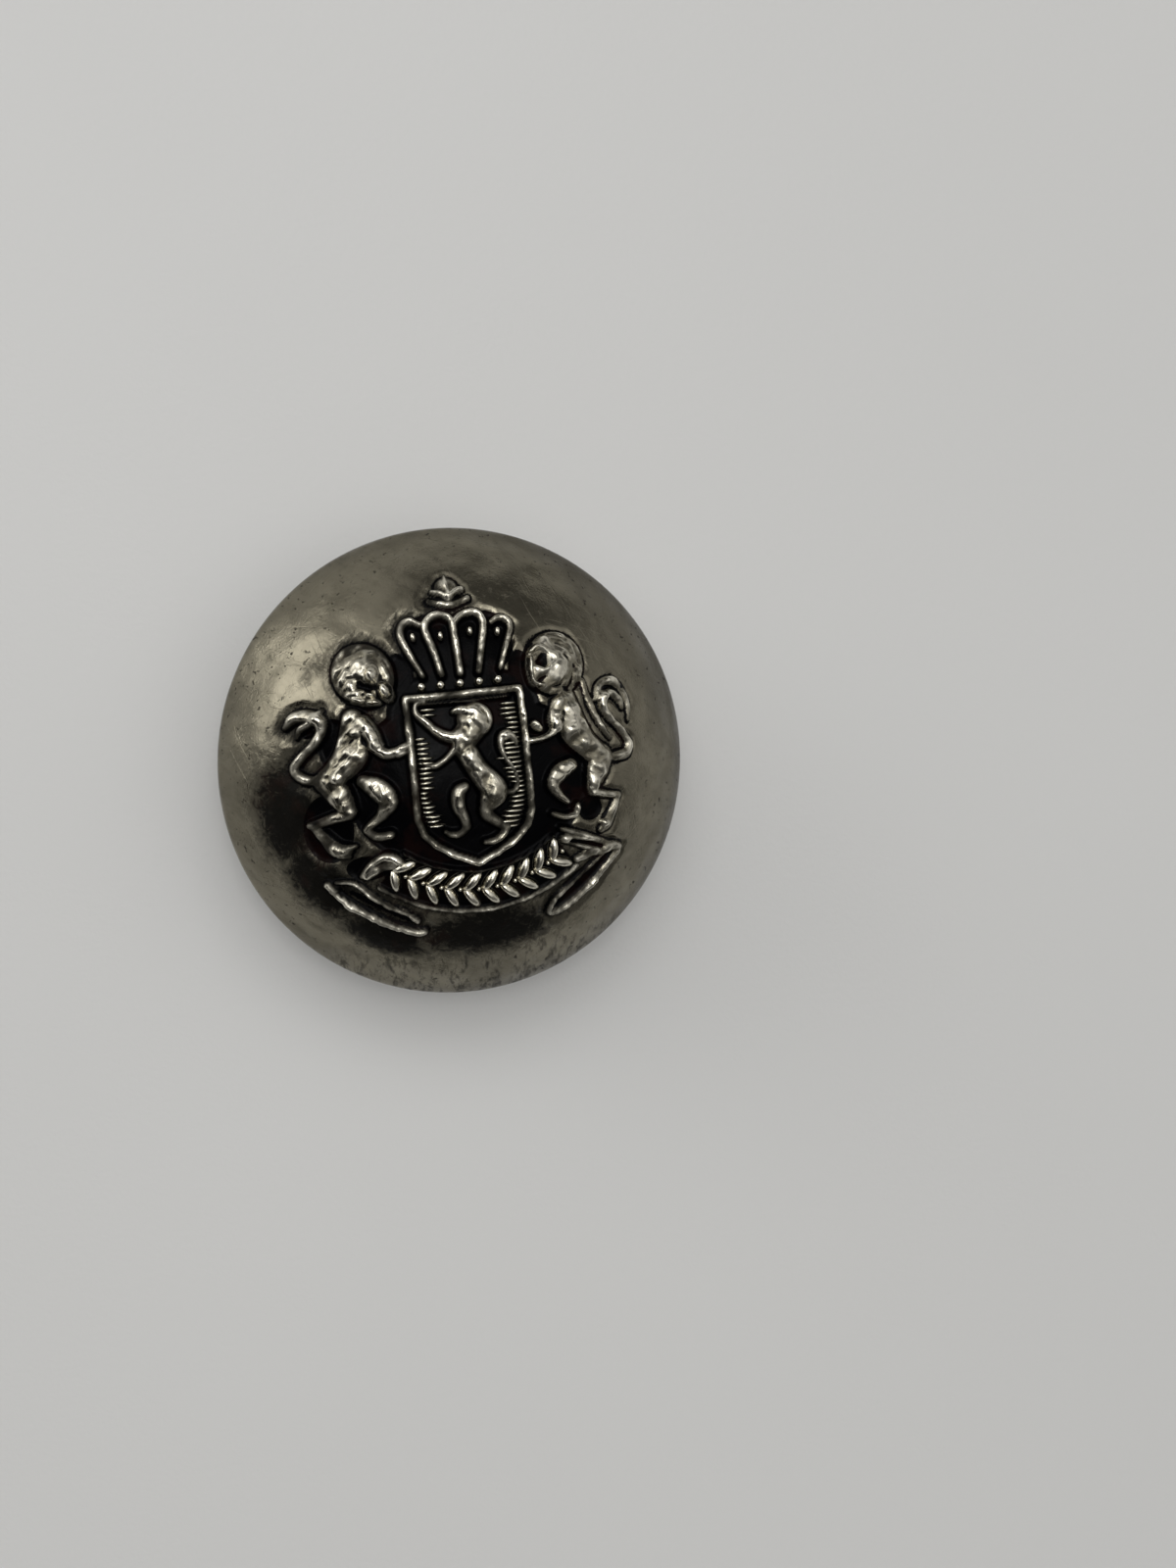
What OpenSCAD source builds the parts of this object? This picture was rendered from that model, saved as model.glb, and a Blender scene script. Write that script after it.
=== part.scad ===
// Domed round cap badge of button form: a struck shell crimped over a back,
// a card filling, and a wire eye on the back that a split pin holds to the cap.
// Millimetres. +Z is the way the face looks, +Y is up on the face, and Z = 0 is
// the plane of the rim's underside, which lies against the cap.

/* [Dome] */
// Diameter over the rim
badge_d = 25; // [22:0.5:30]
// Height of the plain dome above the seat
dome_h = 7.7; // [6:0.1:9.5]
// Thickness of the struck sheet
shell_t = 0.5; // [0.4:0.05:0.6]
// Outside radius of the rolled edge
rim_roll = 0.7; // [0.65:0.05:1]
// Width of the flat flange that is turned in under the back
flange_w = 0.7; // [0.4:0.1:1.2]

/* [Device] */
// Width of the whole device, from tail to tail
device_w = 18; // [14:0.5:18.5]
// How far the lions and the crown stand up from the dome
figure_h = 0.5; // [0.3:0.05:0.7]
// How far the shield's border and the ribbon stand up from the dome
border_h = 0.35; // [0.2:0.05:0.5]
// Width of the shield's raised border
border_w = 0.3; // [0.2:0.05:0.5]

/* [Back] */
// Thickness of the back's sheet
back_t = 0.4; // [0.3:0.05:0.5]
// How far the back's broad face is set in from the seat
back_inset = 0.1; // [0.05:0.05:0.3]
// Width of the sunk well round the collar's flange
well_w = 1.1; // [0.6:0.1:1.6]
// How much deeper the well is than the broad face
well_depth = 0.4; // [0.3:0.05:0.6]
// Height of the pressed stiffening bead
bead_h = 0.35; // [0.2:0.05:0.45]

/* [Shank] */
// Outside diameter of the tubular collar, which fits the cap's eyelet
collar_d = 6; // [5.6:0.1:7]
// Wall of the collar's barrel and of its neck
collar_wall = 0.25; // [0.2:0.05:0.3]
// How much narrower the collar's neck is where it goes through the back
neck_step = 0.2; // [0.18:0.01:0.24]
// How far the collar stands out behind the seat
collar_reach = 2.2; // [1.5:0.1:3.5]
// Width of the collar's flange outside its tube
collar_flange_w = 0.9; // [0.7:0.1:1.3]
// Thickness of the collar's flange and of its clenched lip
collar_flange_t = 0.25; // [0.2:0.05:0.35]
// Thickness of the retaining plate inside the back
plate_t = 0.5; // [0.3:0.1:0.8]
// Width of the retaining plate round the collar's neck
plate_w = 1.7; // [1:0.1:2]
// Diameter of the eye's wire
wire_d = 1.3; // [1:0.1:1.4]
// Clear height inside the eye, below the collar
eye_h = 2.2; // [2:0.1:3]
// Radius that the middle of the wire turns on where its legs are splayed
splay_r = 0.8; // [0.75:0.05:1.2]
// Length of each splayed leg past its bend
leg_len = 1.8; // [1:0.1:2.2]
// Gap between the eye's legs and the collar's bore
leg_gap = 0.05; // [0.02:0.01:0.15]

/* [Filling] */
// Gap between the card filling and the metal round it
fill_gap = 0.1; // [0.05:0.05:0.3]

/* [Split pin] */
// Gap between the split pin and the eye where they are nearest
pin_gap = 0.3; // [0.2:0.05:0.4]
// Slit between the legs
pin_slit = 0.12; // [0.1:0.02:0.3]
// Length of the longer leg
pin_len = 16.5; // [13:0.5:17]
// How much shorter the other leg is
pin_step = 1.2; // [0.5:0.1:2]
// Diameter of the hole in the pin's round head
pin_hole_d = 2.2; // [1.6:0.1:2.6]

/* [Hidden] */
$fn = 64;

plated = [0.55, 0.53, 0.49];
brass = [0.72, 0.58, 0.33];
steel = [0.6, 0.6, 0.6];
card = [0.62, 0.52, 0.38];

rim_r = badge_d / 2;
// The dome's arc runs tangent into the rolled edge, which fixes its radius.
roll_x = rim_r - rim_roll;
dome_r = (pow(roll_x, 2) + pow(dome_h - rim_roll, 2) - pow(rim_roll, 2)) / (2 * (dome_h - 2 * rim_roll));
dome_z = dome_h - dome_r;

back_z = shell_t;
flange_in = roll_x - flange_w;
joint_gap = 0.05;
edge_r = flange_in - joint_gap;
collar_r = collar_d / 2;
neck_r = collar_r - neck_step;
bore_r = neck_r - collar_wall;
flange_r = collar_r + collar_flange_w;
well_r = flange_r + well_w;
bead_r = (well_r + edge_r) / 2;
// The back's edge reaches into the roll as far as the shell's inside face lets it.
back_room = sqrt(pow(dome_r - shell_t, 2) - pow(back_z + back_t - dome_z, 2)) - joint_gap;
back_r = min(roll_x, back_room);
well_z = back_inset + well_depth;
plate_z = well_z + back_t;
plate_r = neck_r + plate_w;
lip_z = plate_z + plate_t;
lip_top = lip_z + collar_flange_t;

wire_r = wire_d / 2;
leg_y = bore_r - leg_gap - wire_r;
eye_w = 2 * (leg_y - wire_r);
eye_z = -collar_reach - eye_h + eye_w / 2;
leg_z = lip_top + splay_r;
leg_end = leg_y + splay_r + leg_len;

pin_z = -collar_reach - eye_h / 2;
pin_r = min(eye_w, eye_h) / 2 - pin_gap;
pin_d = 2 * pin_r;
neck_x = pin_len / 2 - pin_r;
head_r = pin_hole_d / 2 + pin_r;
leg_mid = (pin_r + pin_slit / 2) / 2;
head_x = neck_x + sqrt(pow(head_r - pin_r / 2, 2) - leg_mid * leg_mid);

// ---- Outlines -----------------------------------------------------------

// A point on the smooth curve through four points, at t from 0 to 1 between the middle two.
function smooth_at(a, b, c, d, t) =
    0.5 * (2 * b + (c - a) * t + (2 * a - 5 * b + 4 * c - d) * t * t + (3 * b - a - 3 * c + d) * t * t * t);
// A line of [x, y, half width] points, with points put in between so that it curves.
function smoothed(p, n = 3) = let(last = len(p) - 1) [
    for (i = [0 : last - 1], k = [0 : n - 1])
        smooth_at(p[max(i - 1, 0)], p[i], p[i + 1], p[min(i + 2, last)], k / n),
    p[last]
];
function across(a, b) = let(d = [b.x - a.x, b.y - a.y]) [-d.y, d.x] / norm(d);
function one_side(p, s) = let(last = len(p) - 1) [
    for (i = [0 : last]) [p[i].x, p[i].y] + s * p[i].z * across(p[max(i - 1, 0)], p[min(i + 1, last)])
];
function reversed(p) = [for (i = [len(p) - 1 : -1 : 0]) p[i]];
function arc_points(r, a0, a1, n) = [
    for (i = [0 : n]) let(a = a0 + (a1 - a0) * i / n) r * [cos(a), sin(a)]
];

// A limb, rib or tail: a curved line with a width that changes along it.
module limb(p) {
    q = smoothed(p);
    polygon(concat(one_side(q, 1), reversed(one_side(q, -1))));
}

// ---- Device -------------------------------------------------------------

device_scale = device_w / 18;

lion_parts = [
    [[-5.3, 3.2, 0.8], [-5.6, 2.2, 0.85], [-6.4, 1.0, 0.7], [-7.2, 0.1, 0.6]],      // trunk
    [[-5.0, 2.9, 0.4], [-4.7, 1.9, 0.35], [-3.9, 1.5, 0.25], [-3.3, 1.5, 0.2]],     // foreleg
    [[-7.4, 0.3, 0.5], [-6.6, -0.9, 0.5], [-7.0, -1.8, 0.35], [-7.9, -2.3, 0.25]],  // rear thigh
    [[-8.0, -2.2, 0.2], [-7.3, -2.9, 0.3], [-6.7, -3.6, 0.35]],                     // rear foot
    [[-5.3, -0.1, 0.3], [-4.3, -0.9, 0.45], [-4.7, -1.8, 0.3], [-5.3, -2.4, 0.2]],  // near leg
    [[-5.3, -2.4, 0.2], [-4.7, -2.8, 0.25], [-4.1, -2.9, 0.2]],                     // near foot
    [[-7.3, 0.6, 0.2], [-8.2, 0.4, 0.25], [-8.6, 0.9, 0.25], [-7.9, 2.0, 0.2],
        [-7.3, 2.9, 0.25], [-7.9, 3.4, 0.3], [-8.6, 3.1, 0.25]]                     // tail
];
lion_head = [-4.95, 5.1, 1.5];

charge_parts = [
    [[-0.5, 1.9, 0.6], [-0.2, 1.1, 0.5], [0.1, 0.2, 0.5], [0.9, -0.7, 0.5]],        // trunk
    [[-0.6, 1.9, 0.3], [-1.5, 2.1, 0.2], [-2.4, 2.9, 0.12]],                        // raised foreleg
    [[-1.2, 0.9, 0.12], [-1.8, 0.5, 0.15], [-2.5, 0.5, 0.1]],                       // lower foreleg
    [[1.0, -0.7, 0.5], [0.5, -1.9, 0.35], [1.1, -2.6, 0.25], [1.6, -3.0, 0.2]],     // rear leg
    [[1.6, -2.9, 0.2], [1.1, -3.5, 0.2], [0.4, -3.7, 0.15]],                        // rear foot
    [[-0.6, -0.8, 0.3], [-0.9, -1.7, 0.3], [-0.6, -2.6, 0.2], [-1.6, -3.1, 0.2]],   // near leg
    [[1.5, -1.1, 0.1], [2.2, -1.0, 0.12], [2.1, -0.1, 0.1], [1.6, 1.0, 0.12],
        [1.9, 1.7, 0.2], [2.4, 1.3, 0.15]],                                         // tail
    [[0.2, 3.0, 0.3], [-0.6, 3.1, 0.15]]                                            // muzzle
];
charge_head = [0.45, 2.5, 0.75];

crown_ribs = [
    [[-1.9, 5.0, 0.14], [-2.5, 6.1, 0.16], [-2.7, 7.1, 0.18], [-2.1, 7.7, 0.15]],
    [[-0.9, 5.0, 0.15], [-1.2, 6.3, 0.17], [-1.4, 7.3, 0.18], [-0.7, 7.95, 0.16], [-0.1, 7.6, 0.15]]
];
crown_pearls = [-2, -1, 0, 1, 2];
pearl_y = 4.5;
pearl_r = 0.22;
orb = [0, 9.1, 0.9];

shield_w = 5.9;
shield_top = 3.95;
shield_turn = -1.9;
shield_tip = -4.75;

ribbon_centre = [0, 2.4];
ribbon_in = 7.5;
ribbon_out = 9.7;
ribbon_half_angle = 35;
ribbon_tail = [[-7.4, -5.4, 0.25], [-6.2, -6.4, 0.5], [-4.6, -7.4, 0.5], [-3.0, -8.0, 0.35]];

module both_sides() {
    children();
    mirror([1, 0]) children();
}

module dot(c) translate([c.x, c.y]) circle(r = c.z, $fn = 24);

module lion_2d() {
    for (p = lion_parts) limb(p);
    dot(lion_head);
}

module charge_2d() {
    for (p = charge_parts) limb(p);
    dot(charge_head);
}

module crown_2d() {
    both_sides() for (p = crown_ribs) limb(p);
    translate([-0.16, 5]) square([0.32, 2.6]);
    for (x = crown_pearls) dot([x, pearl_y, pearl_r]);
    dot(orb);
    translate([-0.5, 8]) square([1, 0.5]);
}

// The shield inside its outline by inset: straight sides, then two arcs that meet at the tip.
module shield_2d(inset) {
    half = shield_w / 2;
    drop = shield_turn - shield_tip;
    side_r = (half * half + drop * drop) / (2 * half);
    a = asin(drop / side_r);
    right = arc_points(side_r - inset, 0, -a, 6);
    intersection() {
        polygon(concat(
            [[inset - half, shield_top - inset], [half - inset, shield_top - inset]],
            [for (q = right) [q.x + half - side_r, q.y + shield_turn]],
            reversed([for (q = right) [side_r - half - q.x, q.y + shield_turn]])
        ));
        translate([-half, shield_tip + inset]) square([shield_w, shield_top - shield_tip]);
    }
}

module ribbon_2d() {
    a0 = 270 - ribbon_half_angle;
    a1 = 270 + ribbon_half_angle;
    translate(ribbon_centre)
        polygon(concat(arc_points(ribbon_out, a0, a1, 12), reversed(arc_points(ribbon_in, a0, a1, 12))));
    both_sides() limb(ribbon_tail);
}

// A ball on the dome's centre, turned so that its poles stay clear of the device.
module dome_ball(r) {
    translate([0, 0, dome_z]) rotate([90, 0, 0]) sphere(r = r, $fn = 96);
}

// An outline of the device raised to a height above the dome.
module raised(h) {
    difference() {
        intersection() {
            translate([0, 0, dome_z + dome_r / 2]) scale(device_scale)
                linear_extrude(height = dome_r) children();
            dome_ball(dome_r + h);
        }
        dome_ball(dome_r - shell_t / 2);
    }
}

// ---- Solids -------------------------------------------------------------

// Where the dome's arc runs into the rolled edge, for the face taken in by inset.
function shoulder(inset) =
    let(t = (dome_r - inset) / (dome_r - rim_roll)) [roll_x * t, dome_z + (rim_roll - dome_z) * t];

// What lies below the shoulder, from the axis out to the rolled edge.
module edge_profile(inset) {
    intersection() {
        union() {
            translate([roll_x, rim_roll]) circle(r = rim_roll - inset, $fn = 48);
            translate([0, inset]) square([roll_x, badge_d]);
        }
        square([badge_d, shoulder(inset).y]);
    }
}

// Everything inside the shell's outside face, taken in by inset.
module dome_profile(inset) {
    edge_profile(inset);
    intersection() {
        translate([0, dome_z]) circle(r = dome_r - inset, $fn = 128);
        translate([0, shoulder(inset).y]) square([badge_d, dome_r]);
    }
}

module shell_sheet() {
    rotate_extrude($fn = 128) difference() {
        dome_profile(0);
        dome_profile(shell_t);
        translate([-1, -1]) square([flange_in + 1, shell_t + 2]);
    }
}

module front_shell() {
    color(plated) union() {
        shell_sheet();
        raised(figure_h) {
            both_sides() lion_2d();
            charge_2d();
            crown_2d();
        }
        raised(border_h) {
            difference() {
                shield_2d(0);
                shield_2d(border_w);
            }
            ribbon_2d();
        }
    }
}

module back_shell() {
    hole_r = neck_r + joint_gap;
    color(plated) rotate_extrude($fn = 128) difference() {
        union() {
            translate([edge_r - back_t, back_z]) square([back_r - edge_r + back_t, back_t]);
            translate([edge_r - back_t, back_inset]) square([back_t, back_z + back_t - back_inset]);
            translate([well_r, back_inset]) square([edge_r - well_r, back_t]);
            translate([well_r, back_inset]) square([back_t, well_depth + back_t]);
            translate([hole_r, well_z]) square([well_r + back_t - hole_r, back_t]);
            translate([bead_r, back_inset + back_t]) circle(r = bead_h, $fn = 32);
        }
        translate([bead_r, back_inset]) circle(r = bead_h - 0.05, $fn = 32);
    }
}

module card_filling() {
    card_r = dome_r - shell_t - fill_gap;
    card_z = back_t + max(back_z, back_inset + bead_h) + fill_gap;
    pocket_r = max(leg_end, plate_r) + 3 * fill_gap;
    pocket_z = leg_z + wire_r + fill_gap;
    color(card) rotate_extrude($fn = 128) difference() {
        intersection() {
            translate([0, dome_z]) circle(r = card_r, $fn = 128);
            translate([0, card_z]) square([rim_r, dome_h]);
        }
        translate([-1, -1]) square([pocket_r + 1, pocket_z + 1]);
    }
}

module retaining_plate() {
    color(steel) translate([0, 0, plate_z]) difference() {
        cylinder(r = plate_r, h = plate_t);
        translate([0, 0, -1]) cylinder(r = neck_r, h = plate_t + 2);
    }
}

module shank_collar() {
    flange_z = well_z - collar_flange_t;
    lip_w = collar_wall + collar_flange_w / 2;
    color(plated) rotate_extrude($fn = 128) union() {
        translate([collar_r - collar_wall, -collar_reach]) square([collar_wall, collar_reach + well_z]);
        translate([bore_r, flange_z]) square([flange_r - bore_r, collar_flange_t]);
        translate([bore_r, flange_z]) square([collar_wall, lip_top - flange_z]);
        translate([bore_r, lip_z]) square([lip_w, collar_flange_t]);
    }
}

module shank_eye() {
    color(plated) {
        translate([0, 0, eye_z]) rotate([0, 90, 0]) rotate([0, 0, -90])
            rotate_extrude(angle = 180) translate([leg_y, 0]) circle(r = wire_r, $fn = 32);
        for (s = [-1, 1]) {
            translate([0, s * leg_y, eye_z]) cylinder(r = wire_r, h = lip_top - eye_z, $fn = 32);
            translate([0, s * (leg_y + splay_r), lip_top]) rotate([90, 0, s * 90]) rotate([0, 0, 90])
                rotate_extrude(angle = 90) translate([splay_r, 0]) circle(r = wire_r, $fn = 32);
            translate([0, s * (leg_y + splay_r), leg_z]) rotate([-s * 90, 0, 0])
                cylinder(r = wire_r, h = leg_len, $fn = 32);
        }
    }
}

// Half of a round wire, with its flat on Y = 0 and its round side towards +Y.
module half_wire_2d() {
    intersection() {
        circle(r = pin_r, $fn = 32);
        translate([-pin_r, pin_slit / 2]) square([pin_d, pin_d]);
    }
}

module pin_leg(length) {
    translate([neck_x, 0, 0]) rotate([0, -90, 0]) linear_extrude(height = length) half_wire_2d();
}

module pin_head() {
    gap_angle = asin((pin_r + pin_slit / 2) / 2 / (head_r - pin_r / 2));
    translate([head_x, 0, 0]) rotate([0, 0, gap_angle - 180]) rotate_extrude(angle = 360 - 2 * gap_angle)
        translate([head_r - pin_r, 0]) rotate([0, 0, -90]) translate([0, -pin_slit / 2]) half_wire_2d();
}

module split_pin() {
    color(brass) translate([0, 0, pin_z]) {
        pin_leg(pin_len);
        mirror([0, 1, 0]) pin_leg(pin_len - pin_step);
        pin_head();
    }
}

front_shell();
back_shell();
card_filling();
retaining_plate();
shank_collar();
shank_eye();
split_pin();
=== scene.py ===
import math
import bmesh
import bpy
import numpy as np
from mathutils import Matrix, Vector


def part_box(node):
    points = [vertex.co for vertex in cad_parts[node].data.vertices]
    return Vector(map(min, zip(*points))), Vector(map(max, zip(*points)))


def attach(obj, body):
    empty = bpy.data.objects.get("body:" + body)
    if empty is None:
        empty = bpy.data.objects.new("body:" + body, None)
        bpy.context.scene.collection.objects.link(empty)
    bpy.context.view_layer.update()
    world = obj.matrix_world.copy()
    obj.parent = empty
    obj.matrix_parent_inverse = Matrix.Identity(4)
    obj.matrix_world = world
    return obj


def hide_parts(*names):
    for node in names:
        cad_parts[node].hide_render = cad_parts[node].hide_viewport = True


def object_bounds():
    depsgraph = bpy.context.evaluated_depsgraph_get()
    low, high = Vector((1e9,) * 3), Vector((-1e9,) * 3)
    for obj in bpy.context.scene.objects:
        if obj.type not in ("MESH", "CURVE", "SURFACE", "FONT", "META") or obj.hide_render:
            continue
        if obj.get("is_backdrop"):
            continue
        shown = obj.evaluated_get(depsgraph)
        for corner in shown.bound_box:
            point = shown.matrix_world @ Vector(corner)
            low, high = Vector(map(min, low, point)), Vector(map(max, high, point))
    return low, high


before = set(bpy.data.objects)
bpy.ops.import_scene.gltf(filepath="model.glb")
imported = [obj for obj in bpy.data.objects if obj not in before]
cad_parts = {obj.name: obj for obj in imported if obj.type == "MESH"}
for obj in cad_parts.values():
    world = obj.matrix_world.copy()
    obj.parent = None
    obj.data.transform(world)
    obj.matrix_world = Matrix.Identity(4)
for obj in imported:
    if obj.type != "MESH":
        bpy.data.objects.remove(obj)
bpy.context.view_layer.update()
mm = 0.001


# Camera

cameraView = {
    "lens": 51.9,
    "distance": 0.122,      # from the rim's plane to the lens
    "leanRight": 11.3,      # degrees that the badge's axis leans in the view
    "leanUp": -4.6,
    "turn": 5.8,            # degrees that the device is turned in the view
    "aside": (-0.00737, 0.00124),
}


def makeCamera(v):
    axis = Vector((math.sin(math.radians(v["leanRight"])), math.sin(math.radians(v["leanUp"])), 0))
    axis.z = math.sqrt(1 - axis.x**2 - axis.y**2)
    tilt = Vector((0, 0, 1)).rotation_difference(axis).to_matrix()
    badgeToView = tilt @ Matrix.Rotation(math.radians(v["turn"]), 3, "Z")
    viewToBadge = badgeToView.transposed()
    place = viewToBadge @ Vector((-v["aside"][0], -v["aside"][1], v["distance"]))
    data = bpy.data.cameras.new("viewCamera")
    data.lens = v["lens"]
    camera = bpy.data.objects.new("viewCamera", data)
    camera.matrix_world = Matrix.Translation(place) @ viewToBadge.to_4x4()
    bpy.context.scene.collection.objects.link(camera)
    bpy.context.scene.camera = camera


makeCamera(cameraView)
print("camera set")


# Node helpers

def newTree(name, kind, inputs, outputs):
    # Sockets are given as name: (type, start value or nothing).
    tree = bpy.data.node_groups.new(name, kind)
    for inOut, sockets in (("INPUT", inputs), ("OUTPUT", outputs)):
        for socket, (socketKind, value) in sockets.items():
            socketType = "NodeSocket" + socketKind
            item = tree.interface.new_socket(name=socket, in_out=inOut, socket_type=socketType)
            if value is not None:
                item.default_value = value
    return tree, tree.nodes.new("NodeGroupInput").outputs, tree.nodes.new("NodeGroupOutput").inputs


def addNode(tree, kind, **settings):
    node = tree.nodes.new(kind)
    for key, value in settings.items():
        setattr(node, key, value)
    return node


def feed(tree, socket, value):
    if isinstance(value, bpy.types.NodeSocket):
        tree.links.new(value, socket)
    else:
        socket.default_value = value


def fed(tree, node, *values):
    for socket, value in zip(node.inputs, values):
        feed(tree, socket, value)
    return node.outputs


def linked(tree, kind, inputs, **settings):
    # A node with its sockets fed by name.
    node = addNode(tree, kind, **settings)
    for name, value in inputs.items():
        feed(tree, node.inputs[name], value)
    return node.outputs[0]


def mathNode(tree, operation, a, b=0.0, c=0.0, clamp=False):
    node = addNode(tree, "ShaderNodeMath", operation=operation, use_clamp=clamp)
    return fed(tree, node, a, b, c)[0]


def times(tree, a, b, clamp=False):
    return mathNode(tree, "MULTIPLY", a, b, clamp=clamp)


def timesPlus(tree, a, b, c, clamp=False):
    return mathNode(tree, "MULTIPLY_ADD", a, b, c, clamp)


def greater(tree, a, b):
    return mathNode(tree, "MAXIMUM", a, b)


def vectorMath(tree, operation, *values):
    return fed(tree, addNode(tree, "ShaderNodeVectorMath", operation=operation), *values)


def scaled(tree, vector, factor):
    node = addNode(tree, "ShaderNodeVectorMath", operation="SCALE")
    feed(tree, node.inputs["Scale"], factor)
    return fed(tree, node, vector)[0]


def turned(tree, vector, angle):
    node = addNode(tree, "ShaderNodeVectorRotate", rotation_type="Z_AXIS")
    feed(tree, node.inputs["Angle"], angle)
    return fed(tree, node, vector)[0]


def joined(tree, *values):
    return fed(tree, addNode(tree, "ShaderNodeCombineXYZ"), *values)[0]


def axesOf(tree, vector):
    return fed(tree, addNode(tree, "ShaderNodeSeparateXYZ"), vector)


def rampNode(tree, value, low, high, start=0.0, end=1.0):
    node = addNode(tree, "ShaderNodeMapRange", interpolation_type="SMOOTHSTEP")
    return fed(tree, node, value, low, high, start, end)[0]


def mixColor(tree, factor, a, b):
    node = addNode(tree, "ShaderNodeMix", data_type="RGBA")
    feed(tree, node.inputs[0], factor)
    feed(tree, node.inputs[6], a)
    feed(tree, node.inputs[7], b)
    return node.outputs[2]


def noiseNode(tree, coords, scale, detail=4.0, roughness=0.55, distortion=0.0):
    inputs = {"Vector": coords, "Scale": scale, "Detail": detail, "Roughness": roughness}
    return linked(tree, "ShaderNodeTexNoise", {**inputs, "Distortion": distortion})


# Shared surface effects. Coordinates come in as millimetres.

def buildTarnish():
    tree, given, result = newTree(
        "tarnishClouds", "ShaderNodeTree",
        {"Vector": ("Vector", None), "Cloud Scale": ("Float", 0.3), "Streak Turn": ("Float", 0.6)},
        {"Clouds": ("Float", None), "Streaks": ("Float", None), "Specks": ("Float", None)})
    place = given["Vector"]
    clouds = noiseNode(tree, place, given["Cloud Scale"], 5, 0.6, 0.6)
    drawn = vectorMath(tree, "MULTIPLY", turned(tree, place, given["Streak Turn"]),
                       (0.35, 2.2, 1.0))[0]
    streaks = noiseNode(tree, drawn, 1.1, 6, 0.65, 0.3)
    specks = noiseNode(tree, place, 2.6, 3, 0.7)
    feed(tree, result["Clouds"], rampNode(tree, clouds, 0.38, 0.66))
    feed(tree, result["Streaks"], rampNode(tree, streaks, 0.47, 0.68))
    feed(tree, result["Specks"], rampNode(tree, specks, 0.62, 0.68))
    return tree


def buildScratches():
    # Three sets of hairlines, each with its turn, scale and offset, and an even grain of handling.
    tree, given, result = newTree(
        "hairScratches", "ShaderNodeTree", {"Vector": ("Vector", None), "Width": ("Float", 0.02)},
        {"Scratches": ("Float", None), "Handling": ("Float", None)})
    total = 0.0
    for angle, scale, offset in ((0.35, 0.55, 3.1), (1.25, 0.42, 11.7), (-0.7, 0.6, 23.9)):
        along = turned(tree, given["Vector"], angle)
        along = vectorMath(tree, "MULTIPLY_ADD", along, (0.06, 1.0, 0.3),
                           (offset, offset * 0.7, 0))[0]
        lines = noiseNode(tree, along, scale * 4, 2, 0.5, 0.1)
        line = mathNode(tree, "ABSOLUTE", mathNode(tree, "SUBTRACT", lines, 0.5))
        line = mathNode(tree, "SUBTRACT", 1.0, mathNode(tree, "DIVIDE", line, given["Width"]),
                        clamp=True)
        line = times(tree, line, rampNode(tree, noiseNode(tree, along, 0.9, 2), 0.52, 0.62))
        total = greater(tree, line, total)
    feed(tree, result["Scratches"], total)
    feed(tree, result["Handling"], noiseNode(tree, given["Vector"], 9.0, 4, 0.7))
    return tree


tarnishTree = buildTarnish()
scratchTree = buildScratches()


def newMaterial(name):
    material = bpy.data.materials.new(name)
    material.use_nodes = True
    tree = material.node_tree
    inMillimetres = scaled(tree, addNode(tree, "ShaderNodeTexCoord").outputs["Object"], 1 / mm)
    return material, tree, tree.nodes["Principled BSDF"].inputs, inMillimetres


def effect(tree, group, place, **settings):
    node = addNode(tree, "ShaderNodeGroup", node_tree=group)
    feed(tree, node.inputs["Vector"], place)
    for name, value in settings.items():
        node.inputs[name.replace("_", " ")].default_value = value
    return node.outputs


def readAttribute(tree, name):
    return addNode(tree, "ShaderNodeAttribute", attribute_name=name).outputs["Fac"]


def bumpNode(tree, height, strength, distance):
    inputs = {"Height": height, "Strength": strength, "Distance": distance}
    return linked(tree, "ShaderNodeBump", inputs)


frontLook = {
    "silver": (0.225, 0.206, 0.156, 1),
    "dulled": (0.125, 0.114, 0.085, 1),
    # painted shade: a darker reflection painted on the right of the rim and at the upper right
    # corner
    "paintedShade": (0.075, 0.067, 0.050, 1),
    "polished": (0.86, 0.82, 0.70, 1),
    "blacking": (0.001, 0.001, 0.0013, 1),
    # painted reddish reflection in the blacking
    "reddishReflection": (0.03, 0.009, 0.006, 1),
    "dulling": (0.6, 0.3),      # by the clouds, by the streaks
    "polish": 0.9,              # of the crests
    "rimShadeHeights": (2.2, 1.2),   # painted shade round the rim: from this height down to this one
    "darkPatches": 0.97,
    "dirt": 0.9,
    "specular": 0.04,
    "roughness": 0.14,
    "bump": 0.5,
    "stainsAndDarkReflection": [    # painted dark reflection along the dome's left and lower band (the first four), tarnish stains (the rest): centre, half axes in millimetres, turn in degrees, how dark
        ((-9.3, -1.5), (2.3, 4.3), 8, 1.0),
        ((-7.9, -5.2), (2.0, 3.4), 35, 1.0),
        ((-4.8, -8.4), (3.6, 1.3), -28, 1.0),
        ((0.4, -8.55), (5.4, 1.9), 2, 1.0),
        ((-9.5, 2.4), (.8, 1.6), -10, .45),
        ((-7.0, 5.9), (.7, 2.2), -48, .5),
        ((-5.5, 9.4), (2.4, .8), 28, .25),
        ((3.2, 8.8), (2.2, .6), -24, .25),
    ],
}


def darkPatchMask(tree, place, darkPatch):
    centre, size, turn, dark = darkPatch
    offset = vectorMath(tree, "SUBTRACT", place, (*centre, 0))[0]
    offset = turned(tree, offset, -math.radians(turn))
    offset = vectorMath(tree, "MULTIPLY", offset, (1 / size[0], 1 / size[1], 0))[0]
    reach = vectorMath(tree, "LENGTH", offset)["Value"]
    return times(tree, rampNode(tree, reach, 1.25, .25), dark)


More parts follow.
